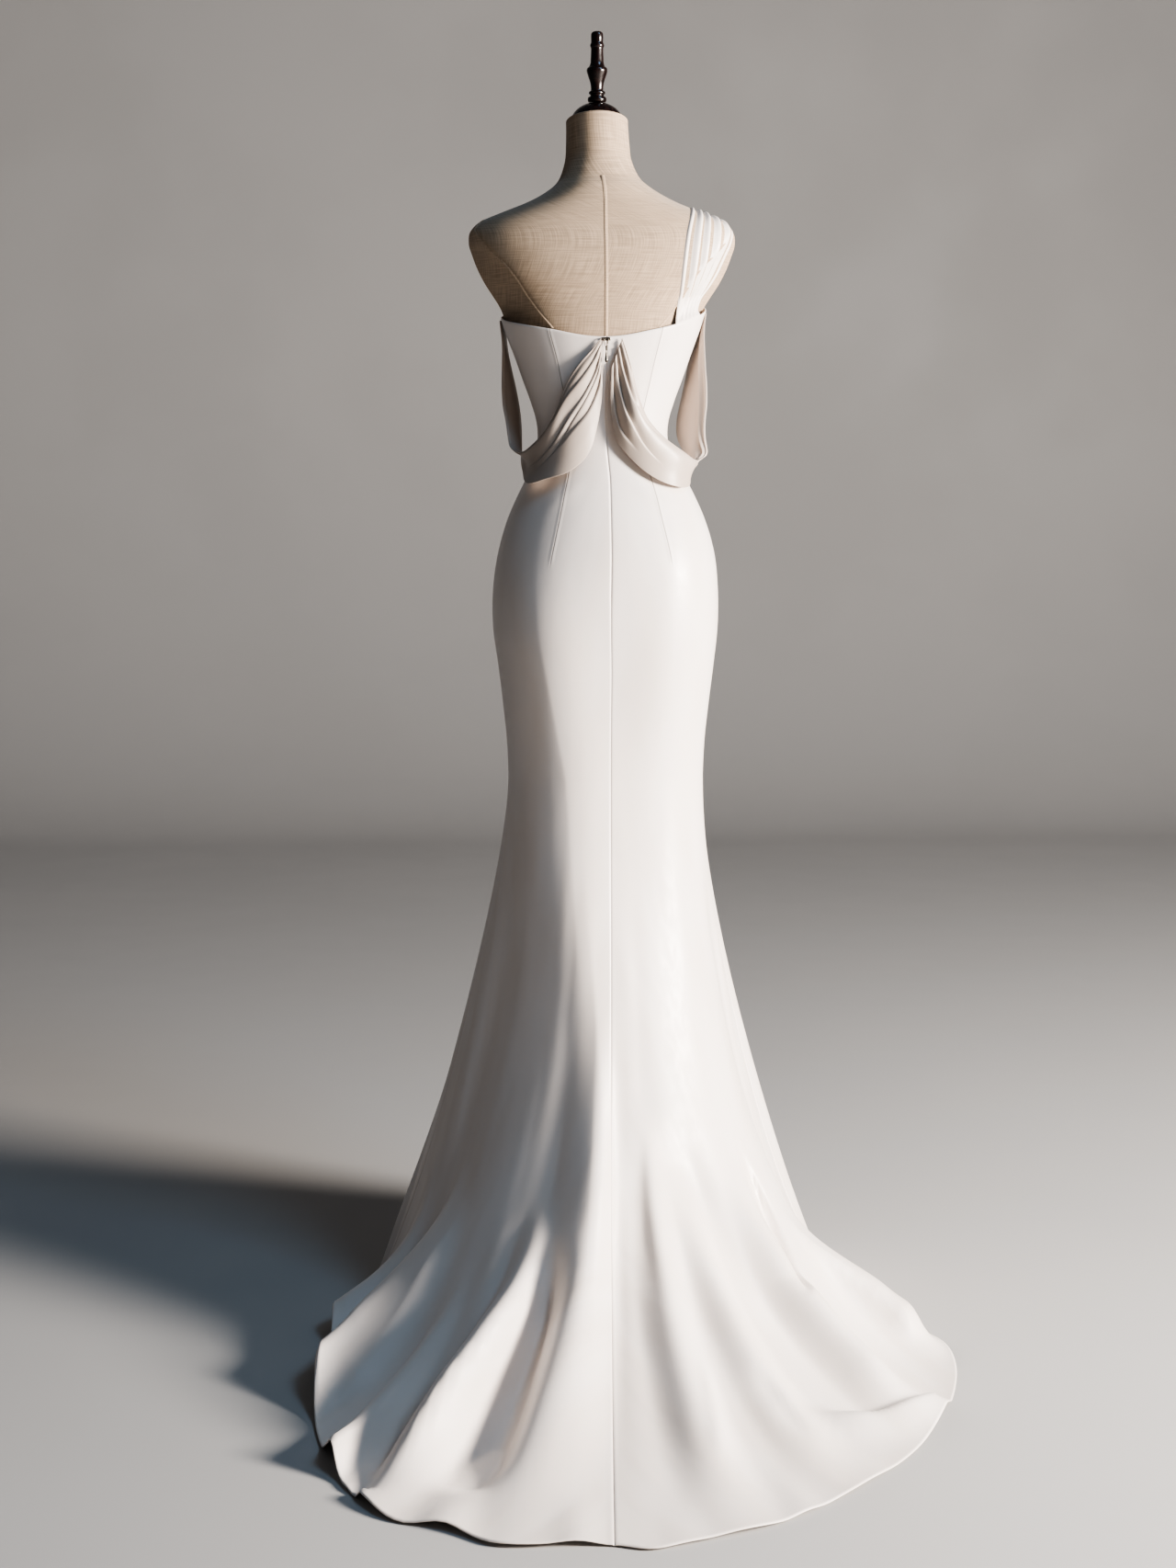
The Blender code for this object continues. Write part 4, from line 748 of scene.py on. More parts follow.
def tube(path, radius, sides=10, closed=False):
    """A circle carried along a path: at each point it lies across the path's direction."""
    path = np.asarray(path, float)
    ahead = np.roll(path, -1, 0) if closed else np.vstack([path[1:], 2 * path[-1] - path[-2]])
    behind = np.roll(path, 1, 0) if closed else np.vstack([2 * path[0] - path[1], path[:-1]])
    tangent = unit(ahead - behind)
    up = np.where(np.abs(tangent[:, 1:2]) < 0.9, [[0.0, 1.0, 0.0]], [[1.0, 0.0, 0.0]])
    across = unit(np.cross(tangent, up))
    lift = np.cross(across, tangent)
    turn = np.linspace(0.0, 2.0 * np.pi, sides, endpoint=False)
    radius = np.broadcast_to(np.asarray(radius, float), (len(path),))[:, None, None]
    ring = path[:, None] + radius * (across[:, None] * np.cos(turn)[:, None] + lift[:, None] * np.sin(turn)[:, None])
    if closed:
        ring = np.concatenate([ring, ring[:1]])
    return ring.reshape(-1, 3), grid_quads(len(ring), sides, closed=True)


def arc_lengths(grid, axis):
    """Metres along one side of a grid from its first line."""
    step = np.linalg.norm(np.diff(grid, axis=axis), axis=-1)
    start = np.zeros_like(np.take(step, [0], axis=axis))
    return np.concatenate([start, np.cumsum(step, axis=axis)], axis=axis)


def cloth_marks(grid):
    """Where the weave lies: metres across and metres down the cloth from its middle line."""
    across = arc_lengths(grid, 1)
    across = across - across[:, [across.shape[1] // 2]]
    down = arc_lengths(grid, 0)
    down = np.broadcast_to(down[:, [down.shape[1] // 2]], across.shape)
    return np.stack([across, down, np.zeros(across.shape)], -1).reshape(-1, 3)


# ---- looks ----

def look(name, colour, roughness, more):
    """A material with its Principled shader; the nodes that follow add its detail."""
    made = bpy.data.materials.new(name)
    made.use_nodes = True
    shader = made.node_tree.nodes["Principled BSDF"]
    for key, value in {"Base Color": (*colour, 1.0), "Roughness": roughness, **more}.items():
        shader.inputs[key].default_value = value
    return made, made.node_tree, shader


def add(tree, kind, values=None, links=None, **settings):
    """A node with its settings, its inputs' values and its links."""
    made = tree.nodes.new(kind)
    for key, value in settings.items():
        setattr(made, key, value)
    for key, value in (values or {}).items():
        made.inputs[key].default_value = value
    for key, source in (links or {}).items():
        tree.links.new(source, made.inputs[key])
    return made


def noise(tree, place, scale, detail, stretch=None, **more):
    """A noise at a position, which a stretch may first scale along each axis: its value and its colour."""
    if stretch:
        place = add(tree, "ShaderNodeMapping", {"Scale": stretch}, {"Vector": place}).outputs[0]
    return add(tree, "ShaderNodeTexNoise", {"Scale": scale, "Detail": detail, **more}, {"Vector": place}).outputs


def math_node(tree, operation, a, b=None):
    """One arithmetic step on a socket and a socket or number."""
    made = add(tree, "ShaderNodeMath", operation=operation)
    for index, value in enumerate((a, b)):
        if value is None:
            continue
        if isinstance(value, (int, float)):
            made.inputs[index].default_value = value
        else:
            tree.links.new(value, made.inputs[index])
    return made.outputs[0]


def span(tree, value, low, high, to_low=0.0, to_high=1.0):
    """Maps a socket from one span to another, smoothly and held at its ends."""
    made = add(tree, "ShaderNodeMapRange", {"From Min": low, "From Max": high, "To Min": to_low, "To Max": to_high},
               {"Value": value}, interpolation_type="SMOOTHSTEP")
    return made.outputs["Result"]


def mix_colour(tree, share, a, b):
    """Mixes two colours by a share; a colour is a socket or three numbers."""
    made = add(tree, "ShaderNodeMix", data_type="RGBA")
    if isinstance(share, (int, float)):
        made.inputs[0].default_value = share
    else:
        tree.links.new(share, made.inputs[0])
    for index, colour in ((6, a), (7, b)):
        if isinstance(colour, tuple):
            made.inputs[index].default_value = (*colour, 1.0)
        else:
            tree.links.new(colour, made.inputs[index])
    return made.outputs[2]


def finish_look(tree, shader, colour, roughness, height, strength, distance):
    """Links a look's colour, its roughness where that varies, and its bump to its shader."""
    tree.links.new(colour, shader.inputs["Base Color"])
    if roughness is not None:
        tree.links.new(roughness, shader.inputs["Roughness"])
    bump = add(tree, "ShaderNodeBump", {"Strength": strength, "Distance": distance}, {"Height": height})
    tree.links.new(bump.outputs[0], shader.inputs["Normal"])


def cloth_field(tree, key, output="Fac"):
    """What a cloth's mesh carries under a name."""
    return add(tree, "ShaderNodeAttribute", attribute_name=key).outputs[output]


def satin_look(name, stitched, base, warm):
    """Ivory satin: a smooth warp face with a soft sheen.  Fine threads and slow undulations are bump; sewn shaping
    lines are a thin groove in the bump, darkened by painted shade, where the line's distance is near nothing."""
    made, tree, shader = look(name, base, 0.40, {"Specular IOR Level": 0.42, "Sheen Weight": 0.12,
                                                 "Sheen Roughness": 0.45})
    marks = cloth_field(tree, "cloth", "Vector")
    thread = noise(tree, marks, 1.0, 1.0, THREAD_STRETCH)[0]
    slow = noise(tree, marks, 1.0, 2.0, WAVE_STRETCH, Roughness=0.4)[0]
    patch = noise(tree, marks, 1.0, 2.0, PATCH_STRETCH)[0]
    colour = mix_colour(tree, span(tree, slow, 0.35, 0.65), base, warm)
    height = math_node(tree, "ADD", math_node(tree, "MULTIPLY", slow, WAVE_HEIGHT),
                       math_node(tree, "MULTIPLY", thread, THREAD_HEIGHT))
    if stitched:
        off, waist = cloth_field(tree, "seam"), cloth_field(tree, "waist_seam")
        shown = cloth_field(tree, "seam_shown")
        near = math_node(tree, "MINIMUM", math_node(tree, "ABSOLUTE", off), math_node(tree, "ABSOLUTE", waist))
        line = math_node(tree, "MULTIPLY", span(tree, near, 0.0003, 0.0011, 1.0, 0.0), shown)
        swell = math_node(tree, "MULTIPLY", span(tree, near, 0.0005, 0.0060, 1.0, 0.0), shown)
        # the seam line's darkening is painted shade in its groove
        colour = mix_colour(tree, math_node(tree, "MULTIPLY", line, 0.75), colour, SEAM_SHADE_COLOUR)
        height = math_node(tree, "SUBTRACT", height, math_node(tree, "MULTIPLY", line, SEAM_GROOVE))
        height = math_node(tree, "ADD", height, math_node(tree, "MULTIPLY", swell, SEAM_SWELL))
    finish_look(tree, shader, colour, span(tree, patch, 0.30, 0.70, 0.36, 0.44), height, 0.6, 1.0)
    return made


def linen_look(name, light):
    """Plain woven linen: two crossed waves of threads, uneven slubs stretched along each thread direction."""
    # light scales every colour; above 1 it gives a lighter copy of the linen, a painted highlight
    base, dark, pale, gap, cloudy = (tuple(min(c * light * tone, 0.95) for c in LINEN_COLOUR)
                                     for tone in (1.0, 0.72, 1.16, 0.62, 0.86))
    made, tree, shader = look(name, base, 0.92, {"Specular IOR Level": 0.15, "Sheen Weight": 0.25})
    marks = cloth_field(tree, "cloth", "Vector")
    bend = noise(tree, marks, 60.0, 1.0)["Color"]
    moved = add(tree, "ShaderNodeVectorMath", {1: (0.0006, 0.0006, 0.0)}, {0: bend}, operation="MULTIPLY")
    place = add(tree, "ShaderNodeVectorMath", {}, {0: marks, 1: moved.outputs[0]}, operation="ADD").outputs[0]
    warp, weft = (add(tree, "ShaderNodeTexWave", {"Scale": 420.0, "Distortion": 0.6, "Detail Scale": 2.0},
                      {"Vector": place}, bands_direction=axis).outputs["Fac"] for axis in "XY")
    long_slub = noise(tree, marks, 1.0, 2.0, (SLUB_ACROSS, SLUB_ALONG, 1.0))[0]
    cross_slub = noise(tree, marks, 1.0, 2.0, (SLUB_ALONG, SLUB_ACROSS, 1.0))[0]
    cloud = noise(tree, marks, 14.0, 3.0)[0]
    weave = math_node(tree, "MULTIPLY", math_node(tree, "ADD", warp, weft), 0.5)
    slub = math_node(tree, "MULTIPLY", math_node(tree, "ADD", long_slub, cross_slub), 0.5)
    colour = mix_colour(tree, span(tree, slub, 0.36, 0.64), dark, pale)
    colour = mix_colour(tree, span(tree, weave, 0.15, 0.85, 0.35, 0.0), colour, gap)
    colour = mix_colour(tree, span(tree, cloud, 0.35, 0.70, 0.0, 0.22), colour, cloudy)
    height = math_node(tree, "ADD", math_node(tree, "MULTIPLY", weave, WEAVE_HEIGHT),
                       math_node(tree, "MULTIPLY", slub, SLUB_HEIGHT))
    finish_look(tree, shader, colour, None, height, 0.7, 1.0)
    return made


def wood_look(name):
    """Dark polished wood: fine grain along the turning axis under a clear coat."""
    made, tree, shader = look(name, WOOD_DARK, 0.28, {"Coat Weight": 0.5, "Coat Roughness": 0.16})
    place = add(tree, "ShaderNodeTexCoord").outputs["Object"]
    grain = noise(tree, place, 1.0, 4.0, GRAIN_STRETCH, Distortion=0.4)[0]
    colour = mix_colour(tree, span(tree, grain, 0.38, 0.64), WOOD_DARK, WOOD_RED)
    finish_look(tree, shader, colour, span(tree, grain, 0.3, 0.7, 0.22, 0.36), grain, 0.3, 0.0004)
    return made


def metal_look(name, colour, dark, roughness, metallic, scale):
    """Metal or paint with a cloudy finish: a noise moves colour and roughness a little."""
    made, tree, shader = look(name, colour, roughness, {"Metallic": metallic})
    cloud = noise(tree, add(tree, "ShaderNodeTexCoord").outputs["Object"], scale, 3.0)[0]
    mixed = mix_colour(tree, span(tree, cloud, 0.35, 0.68), colour, dark)
    rough = span(tree, cloud, 0.3, 0.7, roughness * 0.8, roughness * 1.25)
    finish_look(tree, shader, mixed, rough, cloud, 0.25, 0.0002)
    return made


SATIN_COLOUR = (0.800, 0.735, 0.690)
SATIN_WARM = (0.775, 0.700, 0.645)
# the drapes' colours are the dress's satin darkened: painted shade for the shade that falls on the hanging loops
DRAPE_SHADED_COLOUR = (0.500, 0.425, 0.370)
DRAPE_SHADED_WARM = (0.470, 0.390, 0.332)
# the seam lines' dark colour: painted shade in the stitched groove
SEAM_SHADE_COLOUR = (0.300, 0.265, 0.235)
LINEN_COLOUR = (0.505, 0.380, 0.272)
WOOD_DARK = (0.0075, 0.0032, 0.0028)
WOOD_RED = (0.018, 0.0065, 0.0050)
METAL_COLOUR = (0.300, 0.275, 0.240)
METAL_DARK = (0.075, 0.066, 0.056)
BLACK_PAINT = (0.018, 0.018, 0.019)
FLOOR_COLOUR = (0.480, 0.470, 0.460)

# how often a noise repeats to the metre across and down the cloth (for wood, along X, Y and Z), and heights in metres
THREAD_STRETCH, THREAD_HEIGHT = (2600.0, 260.0, 1.0), 0.00003
WAVE_STRETCH, WAVE_HEIGHT = (16.0, 5.0, 1.0), 0.0030
PATCH_STRETCH = (90.0, 40.0, 1.0)
SEAM_GROOVE, SEAM_SWELL = 0.0006, 0.0005
SLUB_ACROSS, SLUB_ALONG = 700.0, 22.0
WEAVE_HEIGHT, SLUB_HEIGHT = 0.00012, 0.00022
GRAIN_STRETCH = (240.0, 240.0, 26.0)


# ---- pieces ----

PANEL_ROWS_ABOVE = 110
PANEL_ROWS_BELOW = 200
BACK_COLUMNS = 128
FRONT_COLUMNS = 150
WAIST_RUN = 0.275
ZIP_BOTTOM_RUN = 0.60
ZIP_TOP_RUN = 0.012
ZIP_SLIT = 0.0011
EDGE_ROLL = 0.0024
EDGE_SINK = 0.0011
CENTRE_BACK = 90.0
# extra lines of the grid beside its edges, in shares of the length; how the rows crowd toward the top and the hem
EDGE_LINES = np.array([0.0008, 0.0018, 0.0032])
CROWD_TO_TOP, CROWD_TO_HEM = 1.15, 0.82
SEAM_SPREAD = 0.012


def seam_distance(name, degrees, run, grid):
    """Signed metres to the panel's shaping line, positive between two lines, and where the line shows."""
    signed = None
    for sign, line in zip((1.0, -1.0), SHAPING[name]):
        line = np.array(line)
        angle = hermite(line[:, 0], line[:, 1:], np.clip(run, 0.0, line[-1, 0] + SEAM_REACH))[..., 0]
        per_degree = np.linalg.norm(np.gradient(grid, axis=1), axis=-1) / np.abs(np.gradient(degrees, axis=1))
        off = sign * (degrees - angle) * per_degree
        signed = off if signed is None else np.minimum(signed, off)
    return signed, smoothstep((line[-1, 0] + SEAM_TAIL - run) / SEAM_FADE)


def waist_distance(name, run, grid):
    """Signed metres to the front's waist seam; a panel without one is far from it everywhere."""
    if name != "front":
        return np.ones(run.shape)
    per_run = np.linalg.norm(np.gradient(grid, axis=0), axis=-1) / np.abs(np.gradient(run, axis=0))
    return (run - WAIST_RUN) * per_run


def dress_panel(name, first, last, columns, look_used, replaced):
    """One panel between two seams: the fine dress on a grid, its side edges drawn apart by half the seam's gap, or by
    half the zip's slit, and rolled in, its top edge rolled in."""
    lower = 1.0 + np.linspace(0.0, 1.0, PANEL_ROWS_BELOW + 1)[1:] ** CROWD_TO_HEM
    run = np.concatenate([np.linspace(0.0, 1.0, PANEL_ROWS_ABOVE) ** CROWD_TO_TOP, lower])
    run = np.insert(run, 1, EDGE_LINES)
    share = np.linspace(-1.0, 1.0, columns - 6)
    ends = EDGE_LINES / 0.2
    share = np.sort(np.concatenate([share, -1.0 + ends, 1.0 - ends]))
    degrees = 0.5 * (first + last) + 0.5 * (last - first) * share
    run, degrees = np.meshgrid(run, degrees, indexing="ij")
    grid = fine_dress(degrees, run)
    normal = base_normal(degrees, run)
    across = arc_lengths(grid, 1)
    for end, beside, near in ((0, 4, across), (-1, -5, across[:, [-1]] - across)):
        slit = SEAM_GAP
        if (first, last)[end] == CENTRE_BACK:
            slit = SEAM_GAP + (ZIP_SLIT - SEAM_GAP) * smoothstep((ZIP_BOTTOM_RUN - run) / 0.02)
        toward = unit(grid[:, beside] - grid[:, end])
        grid = grid + toward[:, None] * (0.5 * slit * bell(near / SEAM_SPREAD))[..., None]
        roll = np.clip(1.0 - near / EDGE_ROLL, 0.0, 1.0) ** 2
        grid = grid - normal * (EDGE_SINK * roll)[..., None]
    top = arc_lengths(grid, 0)
    roll = np.clip(1.0 - top / EDGE_ROLL, 0.0, 1.0) ** 2
    grid = grid - normal * (0.8 * EDGE_SINK * roll)[..., None]
    grid = off_floor(grid, run, LOWEST_CLOTH - 0.0008)
    signed, shown = seam_distance(name, degrees, run, grid)
    marks = {"cloth": cloth_marks(grid), "seam": signed.ravel(), "seam_shown": shown.ravel(),
             "waist_seam": waist_distance(name, run, grid).ravel()}
    quads = grid_quads(*run.shape, flip=True)
    thing = piece(name + "_satin", grid, quads, look_used, "ivory_satin", BODY, replaced, marks)
    thicken(thing, WALL)
    return thing


def hanging_piece(name, surface, rows, columns, look_used, flip=False):
    """A drape or the strap: its surface on a grid of places along and across it."""
    grid = surface(*np.meshgrid(np.linspace(0, 1, rows), np.linspace(0, 1, columns), indexing="ij"))
    thing = piece(name + "_satin", grid, grid_quads(rows, columns, flip=flip), look_used, "ivory_satin", BODY, [name],
                  {"cloth": cloth_marks(grid)})
    thicken(thing, DRAPE_WALL)
    return thing


def torso_piece(look_used):
    """The linen torso: the neck's slanting rings and the form's levels, joined by one smooth curve down each column,
    closed by small rings at its top and bottom."""
    degrees = np.linspace(0.0, 360.0, 256, endpoint=False)
    turn = np.radians(degrees)
    rings = []
    slant = math.tan(NECK_TILT)
    for share in NECK_RINGS:
        grow = 1.0 + NECK_FLARE * (1.0 - share) ** FLARE_POWER
        x = NECK_SHIFT_X * (0.7 + 0.3 * share) + NECK_RADIUS * grow * np.cos(turn)
        y = NECK_SHIFT_Y * (0.5 + 0.5 * share) + NECK_DEPTH * grow * np.sin(turn)
        z = NECK_FOOT + (NECK_TOP - NECK_FOOT + slant * (y - NECK_SHIFT_Y)) * share
        rings.append(np.stack([x, y, z], -1))
    for height in SHOULDER_RINGS:
        rings.append(form_level(degrees, height))
    rings = np.array(rings)
    knots = np.arange(len(rings), dtype=float)
    neck = hermite(knots, rings.reshape(len(rings), -1), np.linspace(0.0, knots[-1], 90))
    neck = neck.reshape(-1, len(degrees), 3)
    heights = np.concatenate([np.linspace(SHOULDER_RINGS[-1], 1.40, 100)[1:], np.linspace(1.40, 0.945, 30)[1:]])
    body = form_level(np.broadcast_to(degrees, (len(heights), len(degrees))), heights[:, None])
    bottom = body[-1:] * [0.93, 0.93, 1.0]
    bottom[..., 2] = FORM_BOTTOM
    top = neck[:1] * [0.002, 0.002, 1.0] + np.array([NECK_SHIFT_X, NECK_SHIFT_Y, 0.0]) * 0.998
    top[..., 2] = NECK_TOP
    close = bottom * [0.002, 0.002, 1.0]
    grid = np.concatenate([top, neck, body, bottom, close])
    piece("form_linen", grid, grid_quads(len(grid), len(degrees), closed=True), look_used, "linen", BODY,
          ["form_torso"], {"cloth": cloth_marks(grid)})


WELT_HEIGHT = 0.0011
WELT_SUNK = 0.35


def welt(path, outward, half_width):
    """A low rounded strip: half an ellipse carried along a path, sunk a little into the surface.  It stands across the
    path in the direction nearest to the one given."""
    tangent = unit(np.gradient(path, axis=0))
    outward = unit(np.cross(np.cross(tangent, outward), tangent))
    across = unit(np.cross(tangent, outward))
    turn = np.linspace(0.0, np.pi, 9)
    ring = (path[:, None] + across[:, None] * (half_width * np.cos(turn))[:, None]
            + outward[:, None] * (WELT_HEIGHT * (np.sin(turn) - WELT_SUNK))[:, None])
    return ring, grid_quads(len(path), len(turn))


def welts_piece(look_used):
    """Sewn welts of the form: down the centre back and front, and along the arm plates' edges."""
    shapes = []
    heights = np.linspace(1.652, 1.400, 90)
    for degrees in (90.0, 270.0):
        path = form_level(np.full(len(heights), degrees), heights)
        shapes.append(welt(path, [0.0, math.sin(math.radians(degrees)), 0.0], 0.0028))
    heights = np.linspace(1.592, 1.440, 80)
    half_width = form_sizes(heights)[0]
    edge = arm_edge(heights, half_width)
    for side in (1.0, -1.0):
        for back in (True, False):
            depth = form_depth(side * edge, heights, np.full(len(heights), back))
            path = np.stack([side * edge, depth if back else -depth, heights], -1)
            shapes.append(welt(path, [0.35 * side, 1.0 if back else -1.0, 0.1], 0.0020))
    points, quads = joined(shapes)
    marks = np.stack([points[:, 0], points[:, 2], np.zeros(len(points))], -1)
    piece("form_welts", points, quads, look_used, "linen", BODY, attributes={"cloth": marks})


def moved(shape, place, tilt=0.0):
    """A shape tilted about X and carried to a place."""
    points, quads = shape
    c, s = math.cos(tilt), math.sin(tilt)
    turned = points @ np.array([[1, 0, 0], [0, c, s], [0, -s, c]])
    return turned + np.asarray(place), quads


def cap_and_finial(look_used):
    """The dome follows the neck's slant; the finial stands upright on the dome's highest point."""
    seat = np.array([NECK_SHIFT_X, NECK_SHIFT_Y, NECK_TOP + SEAM_GAP])
    cap = moved(lathe(CAP_PROFILE, 96), seat, NECK_TILT)
    piece("neck_cap_wood", *cap, look_used, "dark_wood", BODY, ["neck_cap"])
    sine, cosine = math.sin(NECK_TILT), math.cos(NECK_TILT)
    radius, height = np.transpose(CAP_PROFILE)
    highest = np.argmax(radius * sine + height * cosine)
    radius, height = radius[highest], height[highest]
    place = seat + [0.0, radius * cosine - height * sine, radius * sine + height * cosine + SEAM_GAP]
    finial = moved(lathe(FINIAL_PROFILE, 64), place)
    piece("finial_wood", *finial, look_used, "dark_wood", BODY, ["finial"])


def flattened(values, power):
    """A cosine or sine raised to a low power that keeps its sign, so the curve it draws is nearly square."""
    return np.sign(values) * np.abs(values) ** (2.0 / power)


def rounded_box(size, place, power=6.0, steps=20):
    """A box with rounded edges: a sphere whose cosines and sines are flattened by a high power."""
    polar, turn = np.meshgrid(np.linspace(0.0, np.pi, steps), np.linspace(0.0, 2 * np.pi, 2 * steps, endpoint=False),
                              indexing="ij")
    ring = flattened(np.sin(polar), power)
    points = np.stack([ring * flattened(np.cos(turn), power), ring * flattened(np.sin(turn), power),
                       flattened(np.cos(polar), power)], -1)
    points = points * (0.5 * np.asarray(size)) + np.asarray(place)
    return points.reshape(-1, 3), grid_quads(steps, 2 * steps, closed=True)


# Zip
CHAIN_WIDTH = 0.0050
CHAIN_GAP = 0.0005
TOOTH_PITCH = 0.0016
SLIDER_WIDTH = 0.0125
SLIDER_HEIGHT = 0.0048
SLIDER_DEPTH = 0.0026
SLIDER_BELOW_EDGE = 0.0004
SLIDER_CLEARANCE = 0.0005
EAR_REACH = 0.0030
EAR_WIDTH = 0.0016
EAR_SPACING = 0.0094
PIN_RADIUS = 0.0007
BAIL_DROP = 0.0105
BAIL_TIP = 0.0011
BEAD_RADIUS = 0.0016
BEAD_PLACES, DROP_PLACE = (0.7, 2.4), 3.1
TAPE_BEHIND = 0.0018
TAPE_THICKNESS = 0.0006
TOOTH_HALF_SIZE = np.array([0.0013, 0.00035, 0.00045])
TOOTH_SHIFT = (0.0004, 0.00022)
# distance from the axis, height
DROP_PROFILE = [
    (0.0, 0.0), (0.0008, -0.0004), (0.0011, -0.0030), (0.0016, -0.0075), (0.0022, -0.0118), (0.0023, -0.0140),
    (0.0017, -0.0161), (0.0008, -0.0168), (0.0, -0.0170),
]


def zip_pieces(look_used, tape_look):
    """The zip: a tape with its teeth behind the slit, the slider at the top and the pull that hangs from it."""
    run = np.linspace(ZIP_TOP_RUN, ZIP_BOTTOM_RUN - 0.003, 120)
    spine = dress(np.full(len(run), 90.0), run, away=-(TAPE_BEHIND + CHAIN_GAP))
    half = 0.5 * CHAIN_WIDTH
    section = np.array([(-half, 0, 0), (half, 0, 0), (half, -TAPE_THICKNESS, 0), (-half, -TAPE_THICKNESS, 0)])
    tape = spine[:, None] + section, grid_quads(len(run), 4, closed=True, flip=True)
    length = arc_lengths(spine[:, None], 0)[:, 0]
    count = int(length[-1] / TOOTH_PITCH)
    at = (np.arange(count) + 0.5) * TOOTH_PITCH
    place = np.stack([np.interp(at, length, spine[:, i]) for i in range(3)], -1)
    side = np.where(np.arange(count) % 2 == 0, 1.0, -1.0)
    corners = np.array([(x, y, z) for x in (-1, 1) for y in (-1, 1) for z in (-1, 1)], float)
    shift = np.stack([side * TOOTH_SHIFT[0], side * 0 + TOOTH_SHIFT[1], side * 0], -1)
    teeth = place[:, None] + corners * TOOTH_HALF_SIZE + shift[:, None]
    faces = np.array([(0, 1, 3, 2), (4, 6, 7, 5), (0, 4, 5, 1), (2, 3, 7, 6), (0, 2, 6, 4), (1, 5, 7, 3)])
    quads = (faces[None] + 8 * np.arange(count)[:, None, None]).reshape(-1, 4)
    piece("zip_tape_and_teeth", *joined([tape, (teeth, quads)]), tape_look, "zip_metal", BODY, ["zip_chain"])

    height = float(around(TOP_EDGE, 90.0)[0]) - 0.5 * SLIDER_HEIGHT - SLIDER_BELOW_EDGE
    middle = float(dress_level(np.array(90.0), np.array(height))[1]) + SLIDER_CLEARANCE + 0.5 * SLIDER_DEPTH
    shapes = [rounded_box((SLIDER_WIDTH, SLIDER_DEPTH, SLIDER_HEIGHT), (0.0, middle, height))]
    for sign in (-0.5, 0.5):
        ear = (sign * EAR_SPACING, middle + 0.5 * (SLIDER_DEPTH + EAR_REACH) - 0.0003, height)
        shapes.append(rounded_box((EAR_WIDTH, EAR_REACH + 0.0006, 0.62 * SLIDER_HEIGHT), ear, 5.0, 12))
    piece("zip_slider_metal", *joined(shapes), look_used, "zip_metal", BODY, ["zip_slider"])

    pivot = np.array([0.0, middle + 0.5 * SLIDER_DEPTH + 0.6 * EAR_REACH, height])
    pin = 0.5 * (EAR_SPACING - EAR_WIDTH) - SEAM_GAP - PIN_RADIUS
    corners = np.array([(-pin, 0), (pin, 0), (BAIL_TIP, -BAIL_DROP), (-BAIL_TIP, -BAIL_DROP)])
    ahead = np.roll(corners, -1, 0)
    share = np.linspace(0.06, 0.94, 12)[None, :, None]
    wire = (corners[:, None] * (1 - share) + ahead[:, None] * share).reshape(-1, 2)
    wire = np.stack([wire[:, 0], np.zeros(len(wire)), wire[:, 1]], -1)
    shapes = [tube(wire, PIN_RADIUS, 12, closed=True)]
    ball = [(BEAD_RADIUS * math.sin(a), BEAD_RADIUS * math.cos(a)) for a in np.linspace(0.0, math.pi, 9)]
    for along in BEAD_PLACES:
        shapes.append(moved(lathe(ball, 24, 3), [0.0, 0.0, -BAIL_DROP - along * BEAD_RADIUS]))
    shapes.append(moved(lathe(DROP_PROFILE, 24, 3), [0.0, 0.0, -BAIL_DROP - DROP_PLACE * BEAD_RADIUS]))
    points, quads = joined(shapes)
    piece("zip_pull_metal", points + pivot, quads, look_used, "zip_metal", PULL_BODY, ["zip_pull"])


# ---- stage ----

def stage(floor_look):
    """A floor that sweeps up into a backdrop far behind the form: straight, a quarter circle, straight."""
    radius = 1.6
    turn = np.linspace(0.0, 0.5 * np.pi, 24)
    y = np.concatenate([[8.0], -4.0 - radius * np.sin(turn), [-4.0 - radius]])
    z = np.concatenate([[0.0], radius * (1.0 - np.cos(turn)), [9.0]])
    x, y = np.meshgrid(np.linspace(-9.0, 9.0, 7), y)
    grid = np.stack([x, y, np.broadcast_to(z[:, None], x.shape)], -1)
    mesh = bpy.data.meshes.new("floor")
    mesh.from_pydata(grid.reshape(-1, 3).tolist(), [], grid_quads(*x.shape).tolist())
    mesh.shade_smooth()
    mesh.materials.append(floor_look)
    floor = bpy.data.objects.new("floor", mesh)
    bpy.context.scene.collection.objects.link(floor)


def lamp(name, azimuth, elevation, distance, size, power, colour, target=(0.0, 0.25, 0.65)):
    """A square soft light that looks at the dress from an angle around it and above the floor."""
    data = bpy.data.lights.new(name, "AREA")
    data.shape = "SQUARE"
    data.size = size
    data.energy = power
    data.color = colour
    turn, rise = math.radians(azimuth), math.radians(elevation)
    away = Vector((math.cos(turn) * math.cos(rise), math.sin(turn) * math.cos(rise), math.sin(rise)))
    thing = bpy.data.objects.new(name, data)
    thing.location = Vector(target) + away * distance
    thing.rotation_euler = away.to_track_quat("Z", "Y").to_euler()
    bpy.context.scene.collection.objects.link(thing)


# the picture's pixels across and down, and the column that the form's pole stands in
FRAME_SIZE = (1280.0, 1706.0)
POLE_COLUMN = 655.0


